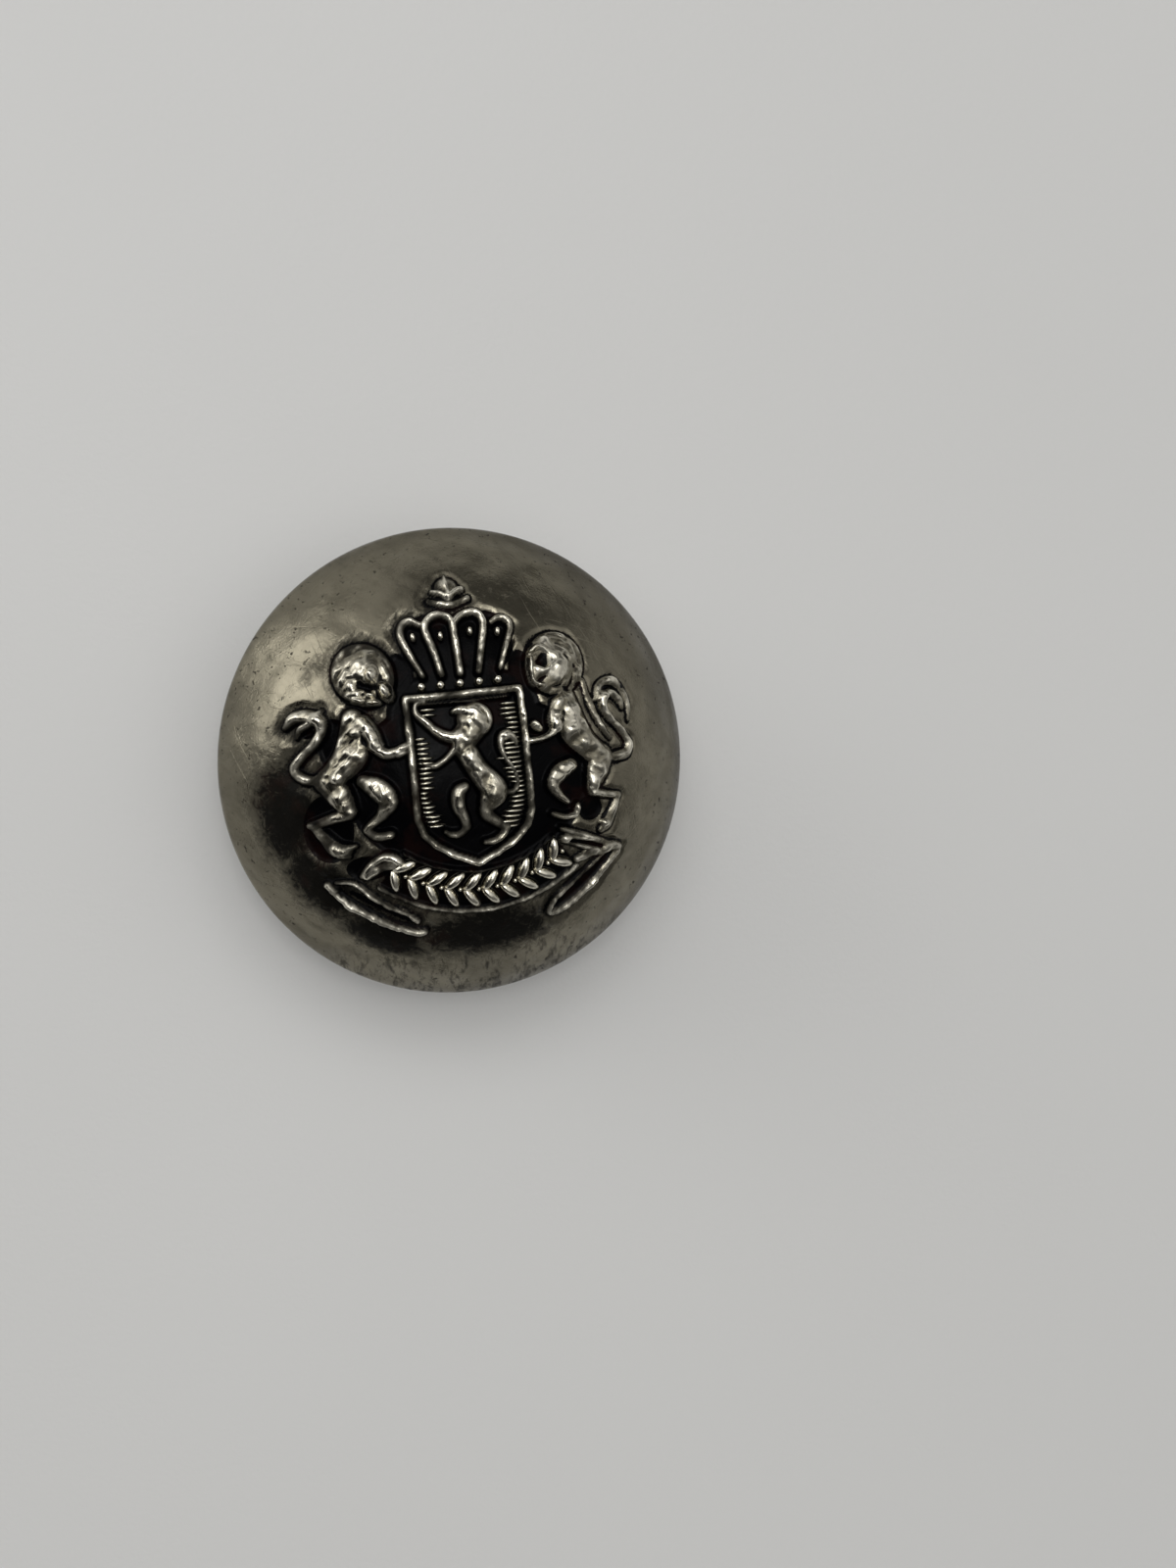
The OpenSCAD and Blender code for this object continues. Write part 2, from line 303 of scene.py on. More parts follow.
def silverTones(tree, look, place, tarnish, crest):
    # The bare metal: dulled in clouds and streaks, polished on the crests, and darkened with
    # painted shade (a painted darker reflection) round the rim on the right and at the upper right
    # corner.
    x, y, z = axesOf(tree, place)
    byClouds, byStreaks = look["dulling"]
    dull = mathNode(tree, "ADD", times(tree, tarnish["Clouds"], byClouds),
                    times(tree, tarnish["Streaks"], byStreaks), clamp=True)
    color = mixColor(tree, dull, look["silver"], look["dulled"])
    color = mixColor(tree, times(tree, crest, look["polish"], clamp=True), color, look["polished"])
    # Painted shade: darker towards the right of the rim and at the upper right corner, in place of
    # a dimmer reflection there.
    rim = rampNode(tree, z, *look["rimShadeHeights"])
    shade = timesPlus(tree, x, 0.035, 0.4, clamp=True)
    color = mixColor(tree, times(tree, rim, shade), color, look["paintedShade"])
    corner = timesPlus(tree, x, 0.85, times(tree, y, 0.5))
    return mixColor(tree, rampNode(tree, corner, 9, 11, 0, 0.55), color, look["paintedShade"])


def darkOverlay(tree, look, place, tarnish, stainsAndDarkReflection, grime):
    # The blacking over the metal: stains and a painted dark reflection, dirt at the relief's feet,
    # specks and raked streaks.
    axes = axesOf(tree, place)
    darkPatches = noiseNode(tree, place, 1.3, 9, 0.82, 0.9)
    darkPatches = rampNode(tree, timesPlus(tree, stainsAndDarkReflection, 0.62, darkPatches), .64, 1.06)
    darkPatches = times(tree, darkPatches, rampNode(tree, stainsAndDarkReflection, 0, .3))
    drawn = vectorMath(tree, "MULTIPLY", turned(tree, place, -0.9), (.5, 1.5, 1))[0]
    dirt = noiseNode(tree, drawn, 2.6, 9, 0.85, 0.5)
    dirt = rampNode(tree, timesPlus(tree, grime, 0.5, dirt), .72, .96)
    specks = times(tree, tarnish["Specks"], rampNode(tree, axes[2], 5.5, 3, 0.15, 0.8))
    rake = effect(tree, tarnishTree, place, Streak_Turn=1.5)
    foot = times(tree, rake["Streaks"], rampNode(tree, axes[1], -8.6, -10.2, 0, 0.75))
    darkOverlayMask = greater(tree, times(tree, darkPatches, look["darkPatches"]), times(tree, dirt, look["dirt"]))
    return greater(tree, greater(tree, darkOverlayMask, specks), foot)


def frontMaterial(look):
    material, tree, shader, place = newMaterial("antiqueSilver")
    recess, crest, grime = (readAttribute(tree, name) for name in ("recess", "crest", "grime"))
    tarnish = effect(tree, tarnishTree, place)
    scratches = effect(tree, scratchTree, place)
    handling = scratches["Handling"]
    stainsAndDarkReflection = 0.0
    # Dark patches: painted dark reflection on the left and lower dome, and tarnish stains.
    for darkPatch in look["stainsAndDarkReflection"]:
        stainsAndDarkReflection = greater(tree, darkPatchMask(tree, place, darkPatch), stainsAndDarkReflection)
    color = silverTones(tree, look, place, tarnish, crest)
    darkOverlayMask = darkOverlay(tree, look, place, tarnish, stainsAndDarkReflection, grime)
    black = timesPlus(tree, mathNode(tree, "SUBTRACT", handling, 0.5), 0.9, recess)
    black = greater(tree, rampNode(tree, black, 0.25, 0.55), darkOverlayMask)
    black = times(tree, black, timesPlus(tree, crest, -0.8, 1.0))
    # Painted reddish reflection: a warm tint in noise patches, mixed into the blacking.
    warm = times(tree, rampNode(tree, noiseNode(tree, place, 0.55, 3, 0.6), 0.52, 0.68), 0.15)
    dark = mixColor(tree, warm, look["blacking"], look["reddishReflection"])
    feed(tree, shader["Base Color"], mixColor(tree, black, color, dark))
    feed(tree, shader["Metallic"], timesPlus(tree, black, -1.0, 1.0))
    shader["Specular IOR Level"].default_value = look["specular"]
    rough = timesPlus(tree, tarnish["Clouds"], 0.08, look["roughness"])
    for mask, amount in ((handling, 0.08), (crest, -0.06), (darkOverlayMask, 0.12)):
        rough = timesPlus(tree, mask, amount, rough)
    feed(tree, shader["Roughness"], rough)
    height = timesPlus(tree, noiseNode(tree, place, 0.24, 2, 0.5), 2.0, times(tree, handling, 0.05))
    dents = noiseNode(tree, place, 1.6, 3, 0.6)
    height = timesPlus(tree, dents, timesPlus(tree, stainsAndDarkReflection, 0.25, 0.11), height)
    height = timesPlus(tree, scratches["Scratches"], -0.03, height)
    feed(tree, shader["Normal"], bumpNode(tree, height, look["bump"], 0.00035))
    return material


def plainLook(name, light, dark, metallic, rough, grainScale, bump, stretch=(1, 1, 1)):
    # One metal, wire or card: two tones in clouds, a fine grain and a few scratches.
    material, tree, shader, place = newMaterial(name)
    tarnish = effect(tree, tarnishTree, place, Cloud_Scale=0.8)
    scratches = effect(tree, scratchTree, place)
    grain = noiseNode(tree, vectorMath(tree, "MULTIPLY", place, stretch)[0], grainScale, 5, 0.7)
    tone = timesPlus(tree, tarnish["Clouds"], 0.55, times(tree, grain, 0.5))
    color = mixColor(tree, tone, light, dark)
    speck = times(tree, tarnish["Specks"], 0.5)
    speckTone = tuple(c * .3 for c in dark[:3]) + (1,)
    feed(tree, shader["Base Color"], mixColor(tree, speck, color, speckTone))
    shader["Metallic"].default_value = metallic
    feed(tree, shader["Roughness"], timesPlus(tree, speck, 0.3, timesPlus(tree, grain, 0.2, rough)))
    height = timesPlus(tree, scratches["Scratches"], -0.15, grain)
    feed(tree, shader["Normal"], bumpNode(tree, height, 0.45, bump))
    return material


frontMetal = frontMaterial(frontLook)
backMetal = plainLook("platedBack", (.42, .40, .36, 1), (.24, .225, .195, 1), 1.0, .26, 5, 0.00004,
                      (.4, 1.6, 1))
collarMetal = plainLook("platedCollar", (.47, .45, .40, 1), (.28, .26, .22, 1), 1.0, .22, 6,
                        0.00003, (1, 1, 4))
wireMetal = plainLook("nickelWire", (.5, .48, .44, 1), (.3, .28, .24, 1), 1.0, .2, 6, 0.00003)
pinBrass = plainLook("pinBrass", (.62, .43, .17, 1), (.36, .22, .08, 1), 1.0, .26, 5, 0.00004,
                     (.3, 1.5, 1.5))
plateSteel = plainLook("plateSteel", (.40, .41, .42, 1), (.17, .16, .155, 1), 1.0, .36, 7, 0.00005)
pressedCard = plainLook("pressedCard", (.44, .35, .24, 1), (.25, .185, .12, 1), 0.0, .78, 3.2,
                        0.00012, (1, 1, 3))


# The struck shell. Everything below is in millimetres until the mesh is made.

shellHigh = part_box("front_shell")[1]
shell = {
    "radius": shellHigh.x / mm,
    "figureRise": 0.5,
    "roll": 0.7,
    "sheet": 0.5,
    "flange": 0.7,
    "deviceRadius": 10.3,
    "cells": 288,
    "rasterStep": 0.04,
    "ground": -0.3,
    "groundReach": (-0.05, 0.6),     # from a figure: deepest up to here, level from there
    "moatDepth": 0.55,               # of the ground's depth
    "soften": 0.032,
    "unevenness": 0.05,              # of the moat's edge
    "grain": (0.02, 0.045, 0.02),    # fine, coarse and along the fur
    "shoulder": 11.1,                # radius where the turned section starts
    "stitch": (0.15, 0.42),          # rings between the device and the shoulder
}
shell["rise"] = shellHigh.z / mm - shell["figureRise"]
rollX = shell["radius"] - shell["roll"]
domeRadius = (rollX**2 + (shell["rise"] - shell["roll"])**2 - shell["roll"]**2) / (
    2 * (shell["rise"] - 2 * shell["roll"]))
domeZ = shell["rise"] - domeRadius

# Each stroke of the device is a line of (x, y, half width, height over the dome).
leftLion = [
    [(-5.6, 3.15, .5, .3), (-5.65, 2.3, .64, .42), (-5.9, 1.4, .68, .42), (-6.6, .6, .58, .36),
     (-7.3, .1, .5, .28)],
    [(-7.1, .1, .6, .34), (-6.65, -.7, .52, .36), (-6.25, -1.45, .34, .28)],
    [(-6.3, -1.6, .3, .26), (-7.1, -1.8, .26, .24), (-8.0, -2.1, .24, .18)],
    [(-8.05, -2.2, .2, .18), (-7.55, -2.85, .28, .2), (-7.05, -3.45, .36, .24),
     (-6.55, -3.5, .28, .24)],
    [(-6.9, -3.8, .15, .2), (-6.45, -3.85, .13, .18)],
    [(-6.5, -3.4, .16, .24), (-6.1, -3.3, .13, .18)],
    [(-5.45, .0, .32, .24), (-4.75, -.45, .48, .36), (-4.3, -1.1, .42, .34),
     (-4.65, -1.75, .27, .26)],
    [(-4.65, -1.8, .25, .26), (-5.2, -2.2, .2, .22), (-5.5, -2.5, .18, .2)],
    [(-5.45, -2.55, .2, .2), (-5.0, -2.9, .22, .22), (-4.35, -2.85, .22, .22)],
]
leftArm = [
    [(-5.15, 3.0, .3, .4), (-4.85, 2.4, .32, .5), (-4.6, 1.75, .27, .46)],
    [(-4.75, 1.75, .24, .42), (-4.2, 1.3, .22, .34), (-3.6, 1.4, .19, .34),
     (-3.22, 1.62, .16, .32)],
    [(-3.6, 1.15, .1, .22), (-3.2, 1.3, .1, .22)],
]
leftTail = [
    [(-7.6, .2, .2, .14), (-8.3, .3, .22, .18), (-8.75, .8, .2, .18), (-8.35, 1.4, .18, .2),
     (-7.65, 2.05, .18, .22), (-7.2, 2.7, .2, .26), (-7.3, 3.25, .26, .36), (-7.9, 3.5, .26, .3),
     (-8.5, 3.4, .22, .24), (-8.95, 2.95, .12, .14)],
    [(-7.7, 3.1, .14, .24), (-8.2, 2.85, .14, .2), (-8.45, 2.4, .08, .12)],
    [(-7.35, 3.4, .14, .3), (-7.1, 3.7, .1, .18)],
]
rightLion = [
    [(5.35, 3.1, .5, .32), (5.4, 2.3, .64, .44), (5.7, 1.4, .66, .44), (6.3, .6, .56, .38),
     (6.95, 0, .54, .34)],
    [(7.0, -.1, .6, .34), (6.75, -.85, .52, .36), (6.4, -1.6, .3, .28)],
    [(6.4, -1.85, .22, .26), (7.2, -2.1, .2, .22), (7.9, -2.25, .2, .16)],
    [(7.85, -2.3, .18, .14), (7.5, -3.0, .24, .16), (7.15, -3.65, .3, .18), (6.8, -3.95, .2, .16)],
    [(5.25, -.3, .34, .26), (4.6, -.6, .4, .36), (4.2, -1.15, .3, .32), (4.5, -1.75, .2, .26),
     (4.9, -2.15, .16, .18)],
    [(5.5, -2.4, .15, .2), (5.35, -2.85, .17, .24), (4.75, -2.95, .15, .22), (4.1, -2.7, .15, .2)],
]
rightArm = [
    [(4.95, 2.95, .3, .38), (4.68, 2.3, .32, .5), (4.55, 1.75, .24, .44)],
    [(4.7, 1.75, .24, .42), (4.25, 1.4, .15, .34), (3.7, 1.25, .12, .3), (3.2, 1.22, .12, .3)],
    [(3.5, 2.0, .2, .28), (3.72, 1.8, .18, .28)],
]
rightTail = [
    [(7.9, -.2, .22, .16), (8.6, -.1, .24, .18), (8.75, .5, .18, .18), (8.3, 1.2, .15, .22),
     (7.75, 1.85, .15, .22), (7.4, 2.4, .18, .26), (7.45, 2.95, .22, .34), (8.0, 3.1, .18, .28),
     (8.45, 2.7, .16, .22), (8.6, 2.2, .1, .14)],
    [(7.05, 2.9, .14, .18), (7.4, 3.55, .18, .24), (8.1, 3.72, .2, .24), (8.7, 3.2, .18, .2),
     (8.95, 2.3, .13, .15), (8.9, 1.5, .08, .08)],
]
charge = [
    [(.3, 2.2, .48, .4), (-.2, 1.75, .5, .4), (-.3, 1.35, .42, .36), (0, .7, .4, .36),
     (.35, 0, .42, .36), (.85, -.7, .48, .4), (1.05, -1.15, .5, .42), (.75, -1.6, .38, .36)],
    [(.65, -1.7, .3, .34), (.55, -2.2, .26, .3), (1.0, -2.65, .22, .28), (1.55, -3.0, .18, .26)],
    [(1.6, -3.0, .16, .26), (1.3, -3.4, .16, .26), (.85, -3.68, .15, .26), (.4, -3.7, .12, .2)],
    [(-.45, -.7, .2, .22), (-.8, -1.0, .28, .3), (-.85, -1.7, .26, .3), (-.6, -2.3, .2, .28),
     (-.5, -2.75, .19, .26)],
    [(-.5, -2.8, .17, .26), (-.85, -3.12, .15, .24), (-1.3, -3.12, .14, .24),
     (-1.6, -2.95, .1, .18)],
    [(-.3, 1.95, .28, .38), (-.9, 1.85, .22, .34), (-1.5, 2.15, .18, .3), (-2.1, 2.75, .15, .26),
     (-2.5, 3.2, .13, .24), (-2.45, 3.62, .1, .2), (-2.0, 3.72, .08, .16)],
    [(-.6, 1.35, .18, .24), (-1.15, .85, .13, .24), (-1.75, .5, .13, .26), (-2.2, .52, .1, .2),
     (-2.55, .75, .07, .14)],
    [(1.5, -1.15, .12, .2), (2.0, -1.25, .11, .22), (2.3, -.8, .11, .22), (2.15, -.1, .1, .22),
     (1.8, .5, .1, .22), (1.6, 1.1, .13, .24), (1.72, 1.6, .19, .3), (2.1, 1.68, .18, .28),
     (2.38, 1.35, .13, .22), (2.42, 1.05, .07, .12)],
    [(.1, 3.0, .26, .46), (-.3, 3.15, .16, .38), (-.65, 3.12, .08, .22)],
]
crownRibs = [
    [(-1.9, 5.0, .12, .16), (-2.35, 6.0, .14, .2), (-2.72, 7.0, .15, .24), (-2.6, 7.6, .15, .24),
     (-2.15, 7.8, .14, .22), (-1.7, 7.6, .13, .18)],
    [(-.95, 5.0, .14, .18), (-1.2, 6.3, .16, .22), (-1.45, 7.35, .16, .26), (-1.2, 7.85, .15, .26),
     (-.65, 8.0, .15, .24), (-.15, 7.8, .14, .22), (0, 7.45, .14, .2)],
    [(0, 5.0, .15, .2), (0, 6.2, .15, .24), (0, 7.5, .15, .26)],
    [(.95, 5.0, .14, .18), (1.3, 6.3, .16, .22), (1.58, 7.35, .16, .26), (1.4, 7.85, .15, .26),
     (.95, 8.0, .15, .24), (.4, 7.85, .14, .22), (.05, 7.5, .13, .2)],
    [(2.1, 5.05, .12, .16), (2.6, 6.2, .13, .2), (2.98, 7.05, .14, .24), (2.8, 7.42, .14, .22),
     (2.4, 7.58, .13, .2), (2.0, 7.4, .12, .16)],
]
crownShadow = [   # the low edge of the cap behind the ribs
    [(-3.0, 7.2, .12, -.1), (-2.75, 7.9, .14, -.06), (-2.1, 8.15, .14, -.05),
     (-1.0, 8.35, .14, -.05), (0, 8.25, .14, -.05), (1.1, 8.35, .14, -.05), (2.1, 8.1, .14, -.05),
     (2.9, 7.8, .14, -.06), (3.3, 7.1, .12, -.1)],
]
finial = [
    [(-1.0, 8.7, .2, .16), (-.45, 8.5, .18, .24), (0, 8.42, .2, .28), (.45, 8.5, .18, .24),
     (1.0, 8.7, .2, .16)],
    [(-.8, 9.15, .13, .3), (-.35, 9.0, .14, .4), (0, 8.75, .17, .46), (.35, 9.0, .14, .4),
     (.8, 9.15, .13, .3)],
    [(0, 8.8, .16, .44), (0, 9.4, .12, .36), (0, 9.9, .07, .2)],
]
ribbonEnds = [
    [(-5.9, -4.95, .18, .14), (-5.3, -4.3, .24, .28), (-4.6, -4.0, .24, .34),
     (-4.0, -4.25, .2, .3), (-3.85, -4.75, .14, .2)],
    [(-4.75, -4.6, .13, .18), (-4.35, -4.5, .14, .22), (-4.15, -4.85, .12, .18),
     (-4.5, -5.1, .1, .14)],
    [(-7.6, -5.3, .2, .26), (-7.0, -6.05, .19, .27), (-6.0, -6.9, .2, .27), (-4.6, -7.75, .2, .27),
     (-3.4, -8.25, .2, .26), (-2.85, -8.3, .18, .24)],
    [(-7.2, -5.2, .12, .2), (-6.3, -5.3, .12, .22), (-5.5, -6.05, .12, .24),
     (-4.6, -6.75, .12, .24), (-3.8, -7.15, .12, .22), (-3.2, -7.65, .14, .24)],
    [(-6.5, -5.85, .07, -.06), (-5.3, -6.65, .07, -.02), (-4.0, -7.4, .08, .04),
     (-3.3, -7.75, .07, .04)],
    [(4.5, -3.55, .15, .22), (5.3, -3.85, .17, .22), (6.2, -4.25, .18, .18), (7.1, -4.65, .14, .1)],
    [(5.6, -4.7, .13, .16), (6.3, -4.75, .14, .16), (7.2, -5.0, .12, .1)],
    [(7.75, -5.2, .18, .2), (6.9, -6.1, .19, .24), (5.9, -7.0, .19, .25), (4.7, -7.8, .19, .25),
     (4.0, -8.1, .16, .24), (3.7, -7.95, .13, .2), (4.1, -7.3, .12, .18), (5.2, -6.5, .11, .16),
     (6.2, -5.75, .11, .14), (7.1, -5.15, .11, .1)],
    [(4.5, -7.5, .07, .0), (5.6, -6.7, .07, -.02), (6.6, -5.9, .06, -.08)],
]
girth = {"lions": 1.35, "arms": 1.5, "tails": 1.6, "charge": 1.55, "crown": 1.65, "ribbon": 1.2}
ribbon = {"centre": (.1, 1.3), "inner": 6.5, "outer": 8.65, "spread": 37, "level": -.23}
shield = {"halfWidth": 2.95, "top": 3.95, "turn": -2.2, "tip": -4.75, "border": .24, "height": .24}
heads = [   # centre, half axes, turn, height
    (-4.85, 5.3, 1.62, 1.72, 18, .5),
    (5.05, 4.95, 1.72, 1.72, 0, .5),
    (.42, 2.6, 1.0, .95, 0, .48),
    (0, 9.25, .72, .68, 0, .24),
]
muzzles = [
    (-4.35, 5.2, .5, .72, -12, .86),
    (-3.85, 4.4, .46, .6, 12, .86),
    (-5.35, 4.75, .42, .5, 0, .54),
    (4.05, 4.65, .66, .84, -10, .52),
]
faceRidges = [
    [(-5.4, 5.2, .12, .54), (-4.95, 5.25, .12, .57), (-4.65, 5.1, .1, .58)],
    [(-5.35, 4.1, .1, .44), (-5.05, 3.98, .12, .5)],
    [(-4.7, 3.88, .12, .5), (-4.25, 3.85, .14, .56)],
    [(-4.75, 4.32, .1, .52), (-4.45, 4.2, .13, .62)],
    [(3.72, 5.6, .14, .58), (4.05, 5.78, .16, .66), (4.5, 5.55, .14, .64), (4.95, 5.15, .12, .6),
     (4.6, 4.75, .13, .64), (4.1, 4.5, .13, .6)],
    [(3.62, 5.3, .13, .54), (3.56, 4.7, .14, .56), (3.66, 4.15, .14, .5), (4.1, 3.9, .13, .44)],
]
muscles = [   # centre, radius, height: the shoulders, haunches and paws stand higher
    (-4.85, 2.4, .36, .54), (-6.6, .25, .5, .46), (-4.6, -.7, .48, .46), (-6.35, -1.1, .36, .38),
    (-7.1, -3.3, .38, .34),
    (-7.35, 3.25, .36, .46), (-5.5, 1.9, .4, .46), (-3.4, 1.55, .22, .42), (-4.4, -2.85, .24, .3),
    (-8.2, -2.1, .26, .24),
    (4.75, 2.35, .33, .52), (6.0, .85, .45, .48), (6.8, -.55, .5, .42), (4.6, -.7, .42, .44),
    (5.5, 1.9, .36, .48),
    (7.5, 2.95, .3, .42), (7.0, -3.6, .32, .26), (3.6, 1.95, .24, .36),
    (.95, -1.1, .5, .5), (-.1, 1.6, .42, .46), (-.85, -1.1, .34, .38), (1.4, -2.9, .26, .34),
    (1.85, 1.6, .3, .38),
]
folds = [    # broad raised cloth of the ribbon's ends, and the swell behind the right lion
    [(4.4, -7.5, .42, -.3), (5.3, -6.85, .55, -.3), (6.3, -6.1, .5, -.3), (7.0, -5.6, .32, -.3)],
    [(5.3, -5.3, .22, .2), (6.2, -5.05, .34, .26), (7.2, -4.95, .36, .24), (7.8, -5.0, .25, .16)],
    [(4.7, -4.1, .3, .24), (5.6, -4.4, .36, .26), (6.6, -4.8, .4, .2), (7.5, -5.0, .36, .12)],
    [(6.45, 3.9, .2, .1), (6.75, 2.6, .24, .14), (7.2, 1.5, .2, .14), (7.7, .75, .1, .1)],
    [(-5.6, -4.9, .3, .22), (-5.0, -4.5, .36, .26), (-4.3, -4.4, .34, .26)],
]
slots = [    # dark channels along the folds of the ribbon
    [(-7.0, -5.75, .12), (-5.6, -6.65, .17), (-4.2, -7.4, .18), (-3.3, -7.85, .13)],
    [(7.0, -5.6, .1), (6.0, -6.4, .15), (5.0, -7.2, .16), (4.3, -7.75, .12)],
    [(5.0, -4.25, .1), (5.9, -4.5, .13), (6.8, -4.85, .08)],
    [(-4.9, -4.95, .1), (-4.55, -4.85, .12), (-4.2, -5.15, .1)],
]
manes = [    # engraved locks of hair
    [(-6.15, 5.0, .07), (-5.85, 5.4, .09), (-5.5, 5.65, .06)],
    [(-5.9, 4.7, .06), (-5.6, 5.0, .09), (-5.2, 5.2, .06)],
    [(-5.8, 6.0, .06), (-5.4, 6.3, .09), (-5.0, 6.4, .06)],
    [(-5.45, 5.6, .06), (-5.1, 5.95, .09), (-4.7, 6.1, .06)],
    [(-4.9, 6.5, .06), (-4.5, 6.6, .08), (-4.1, 6.5, .05)],
    [(-6.3, 4.5, .06), (-6.0, 4.2, .09), (-5.6, 4.05, .06)],
    [(-3.75, 5.9, .05), (-3.55, 5.4, .08), (-3.45, 5.0, .05)],
    [(4.75, 6.35, .06), (5.3, 6.25, .09), (5.75, 5.95, .05)],
    [(5.1, 5.9, .06), (5.55, 5.65, .09), (5.85, 5.25, .05)],
    [(5.45, 5.3, .06), (5.65, 4.95, .09), (5.6, 4.6, .05)],
    [(6.05, 5.7, .05), (6.3, 5.2, .09), (6.3, 4.7, .05)],
    [(5.4, 4.15, .06), (5.05, 3.85, .09), (4.65, 3.75, .05)],
    [(5.85, 4.35, .05), (5.75, 3.9, .08), (5.4, 3.6, .05)],
    [(6.2, 4.3, .05), (6.1, 3.9, .08), (5.9, 3.7, .05)],
    [(.75, 3.1, .05), (1.0, 2.8, .06), (1.05, 2.4, .05)],
]
hollows = [   # centre, radius, depth
    (4.2, 5.1, .25, .36), (4.02, 4.15, .15, .16), (.15, 2.75, .1, .08), (-4.98, 4.72, .24, .3),
    (-4.6, 4.6, .2, .3),
    (-4.28, 4.62, .1, .18), (-4.95, 4.3, .13, .2),
]
fields = [   # broad sunk areas: centre, half axes
    (0, -.6, 6.5, 4.8), (0, 3.1, 4.1, 2.4), (6.3, -2.75, .75, .7), (-7.4, -2.4, 1.3, 1.9),
    (-1.2, 6.5, 1.7, 1.7),
    (1.4, 6.5, 1.7, 1.7), (-6.7, 1.9, .9, 1.5), (-3.1, 5.2, .8, 1.2), (3.2, 4.9, .7, 1.1),
    (-5.6, -4.6, 1.2, .7), (7.0, -1.3, .4, .35), (-8.0, 2.7, .4, .4),
]


def smoothPath(points, steps=4):
    p = np.array(points, float)
    if len(p) < 3:
        return p
    ends = np.vstack([2 * p[0] - p[1], p, 2 * p[-1] - p[-2]])
    out = []
    for a, b, c, d in zip(ends[:-3], ends[1:-2], ends[2:-1], ends[3:]):
        for k in range(steps):
            t = k / steps
            bend = 2 * a - 5 * b + 4 * c - d
            out.append(.5 * (2 * b + (c - a) * t + bend * t**2 + (3 * b - a - 3 * c + d) * t**3))
    out.append(p[-1])
    return np.array(out)


half = shell["deviceRadius"] + .2
side = int(round(2 * half / shell["rasterStep"])) + 1
axisMm = np.linspace(-half, half, side)
gridX, gridY = np.meshgrid(axisMm, axisMm)
figures = np.full((side, side), shell["ground"])
farAway = 9.0
gap = np.full((side, side), farAway)    # distance to the nearest figure


def windowOf(low, high, pad=.8):
    i0, i1 = np.searchsorted(axisMm, (low[0] - pad, high[0] + pad))
    j0, j1 = np.searchsorted(axisMm, (low[1] - pad, high[1] + pad))
    return slice(j0, j1), slice(i0, i1)


def smoothMax(a, b, blend):
    over = np.clip(1 - np.abs(a - b) / blend, 0, 1)
    lifted = np.clip((np.minimum(a, b) - shell["ground"]) / blend, 0, 1)
    return np.maximum(a, b) + over**2 * blend * .25 * lifted


def dome(s2, base, top, fullness):
    return base + (top - base) * np.clip(1 - s2, 0, 1)**fullness


def nearest(x, y, a, b):
    # How far along the segment from a to b the nearest point lies, and the distance to it.
    run = b[:2] - a[:2]
    t = np.clip(((x - a[0]) * run[0] + (y - a[1]) * run[1]) / max(run @ run, 1e-9), 0, 1)
    return t, np.hypot(x - a[0] - t * run[0], y - a[1] - t * run[1])


def addStroke(layer, points, fullness=.5, blend=.05, marksGap=True, wide=1.0):
    path = smoothPath(points)
    path[:, 2] *= wide
    reach = path[:, 2].max()
    w = windowOf(path[:, :2].min(0) - reach, path[:, :2].max(0) + reach)
    x, y = gridX[w], gridY[w]
    best = np.full(x.shape, shell["ground"])
    near = np.full(x.shape, farAway)
    for a, b in zip(path[:-1], path[1:]):
        t, d = nearest(x, y, a, b)
        r = a[2] + t * (b[2] - a[2])
        top = a[3] + t * (b[3] - a[3])
        best = np.maximum(best, dome((d / r)**2, shell["ground"], top, fullness))
        near = np.minimum(near, d - r)
    layer[w] = smoothMax(layer[w], best, blend)
    if marksGap:
        gap[w] = np.minimum(gap[w], near)


def addBlob(layer, blob, fullness, blend, marksGap=True):
    cx, cy, rx, ry, turn, top = blob
    reach = max(rx, ry)
    w = windowOf((cx - reach, cy - reach), (cx + reach, cy + reach))
    c, s = math.cos(math.radians(turn)), math.sin(math.radians(turn))
    u = ((gridX[w] - cx) * c + (gridY[w] - cy) * s) / rx
    v = (-(gridX[w] - cx) * s + (gridY[w] - cy) * c) / ry
    s2 = u**2 + v**2
    layer[w] = smoothMax(layer[w], dome(s2, shell["ground"], top, fullness), blend)
    if marksGap:
        gap[w] = np.minimum(gap[w], (np.sqrt(s2) - 1) * min(rx, ry))


def engrave(layer, points, depth):
    path = smoothPath(points)
    w = windowOf(path[:, :2].min(0), path[:, :2].max(0), .4)
    x, y = gridX[w], gridY[w]
    cut = np.zeros(x.shape)
    for a, b in zip(path[:-1], path[1:]):
        t, d = nearest(x, y, a, b)
        cut = np.maximum(cut, np.exp(-(d / (a[2] + t * (b[2] - a[2])))**2))
    inside = np.clip((layer[w] - shell["ground"]) / .2, 0, 1)
    layer[w] -= depth * cut * inside


def shieldOutline(s):
    w, turn = s["halfWidth"], s["turn"]
    right = [(w, s["top"]), (w, 2.6), (w, 1.2), (w, -.2), (w, turn), (w * .9, turn - .85),
             (w * .7, turn - 1.45), (w * .38, turn - 2.05), (0, s["tip"])]
    left = [(-x, y) for x, y in right[-2::-1]]
    return right + left


def blurred(field, sigma, stretch=1.0):
    for s in (sigma * stretch / shell["rasterStep"], sigma / shell["rasterStep"]):
        n = int(3 * s) + 1
        k = np.exp(-.5 * (np.arange(-n, n + 1) / s)**2)
        k /= k.sum()
        out = np.pad(field, ((0, 0), (n, n)), mode="edge")
        field = sum(w * out[:, i:i + field.shape[1]] for i, w in enumerate(k)).T
    return field


def smoothStep(v, low, high):
    t = np.clip((v - low) / (high - low), 0, 1)
    return t * t * (3 - 2 * t)


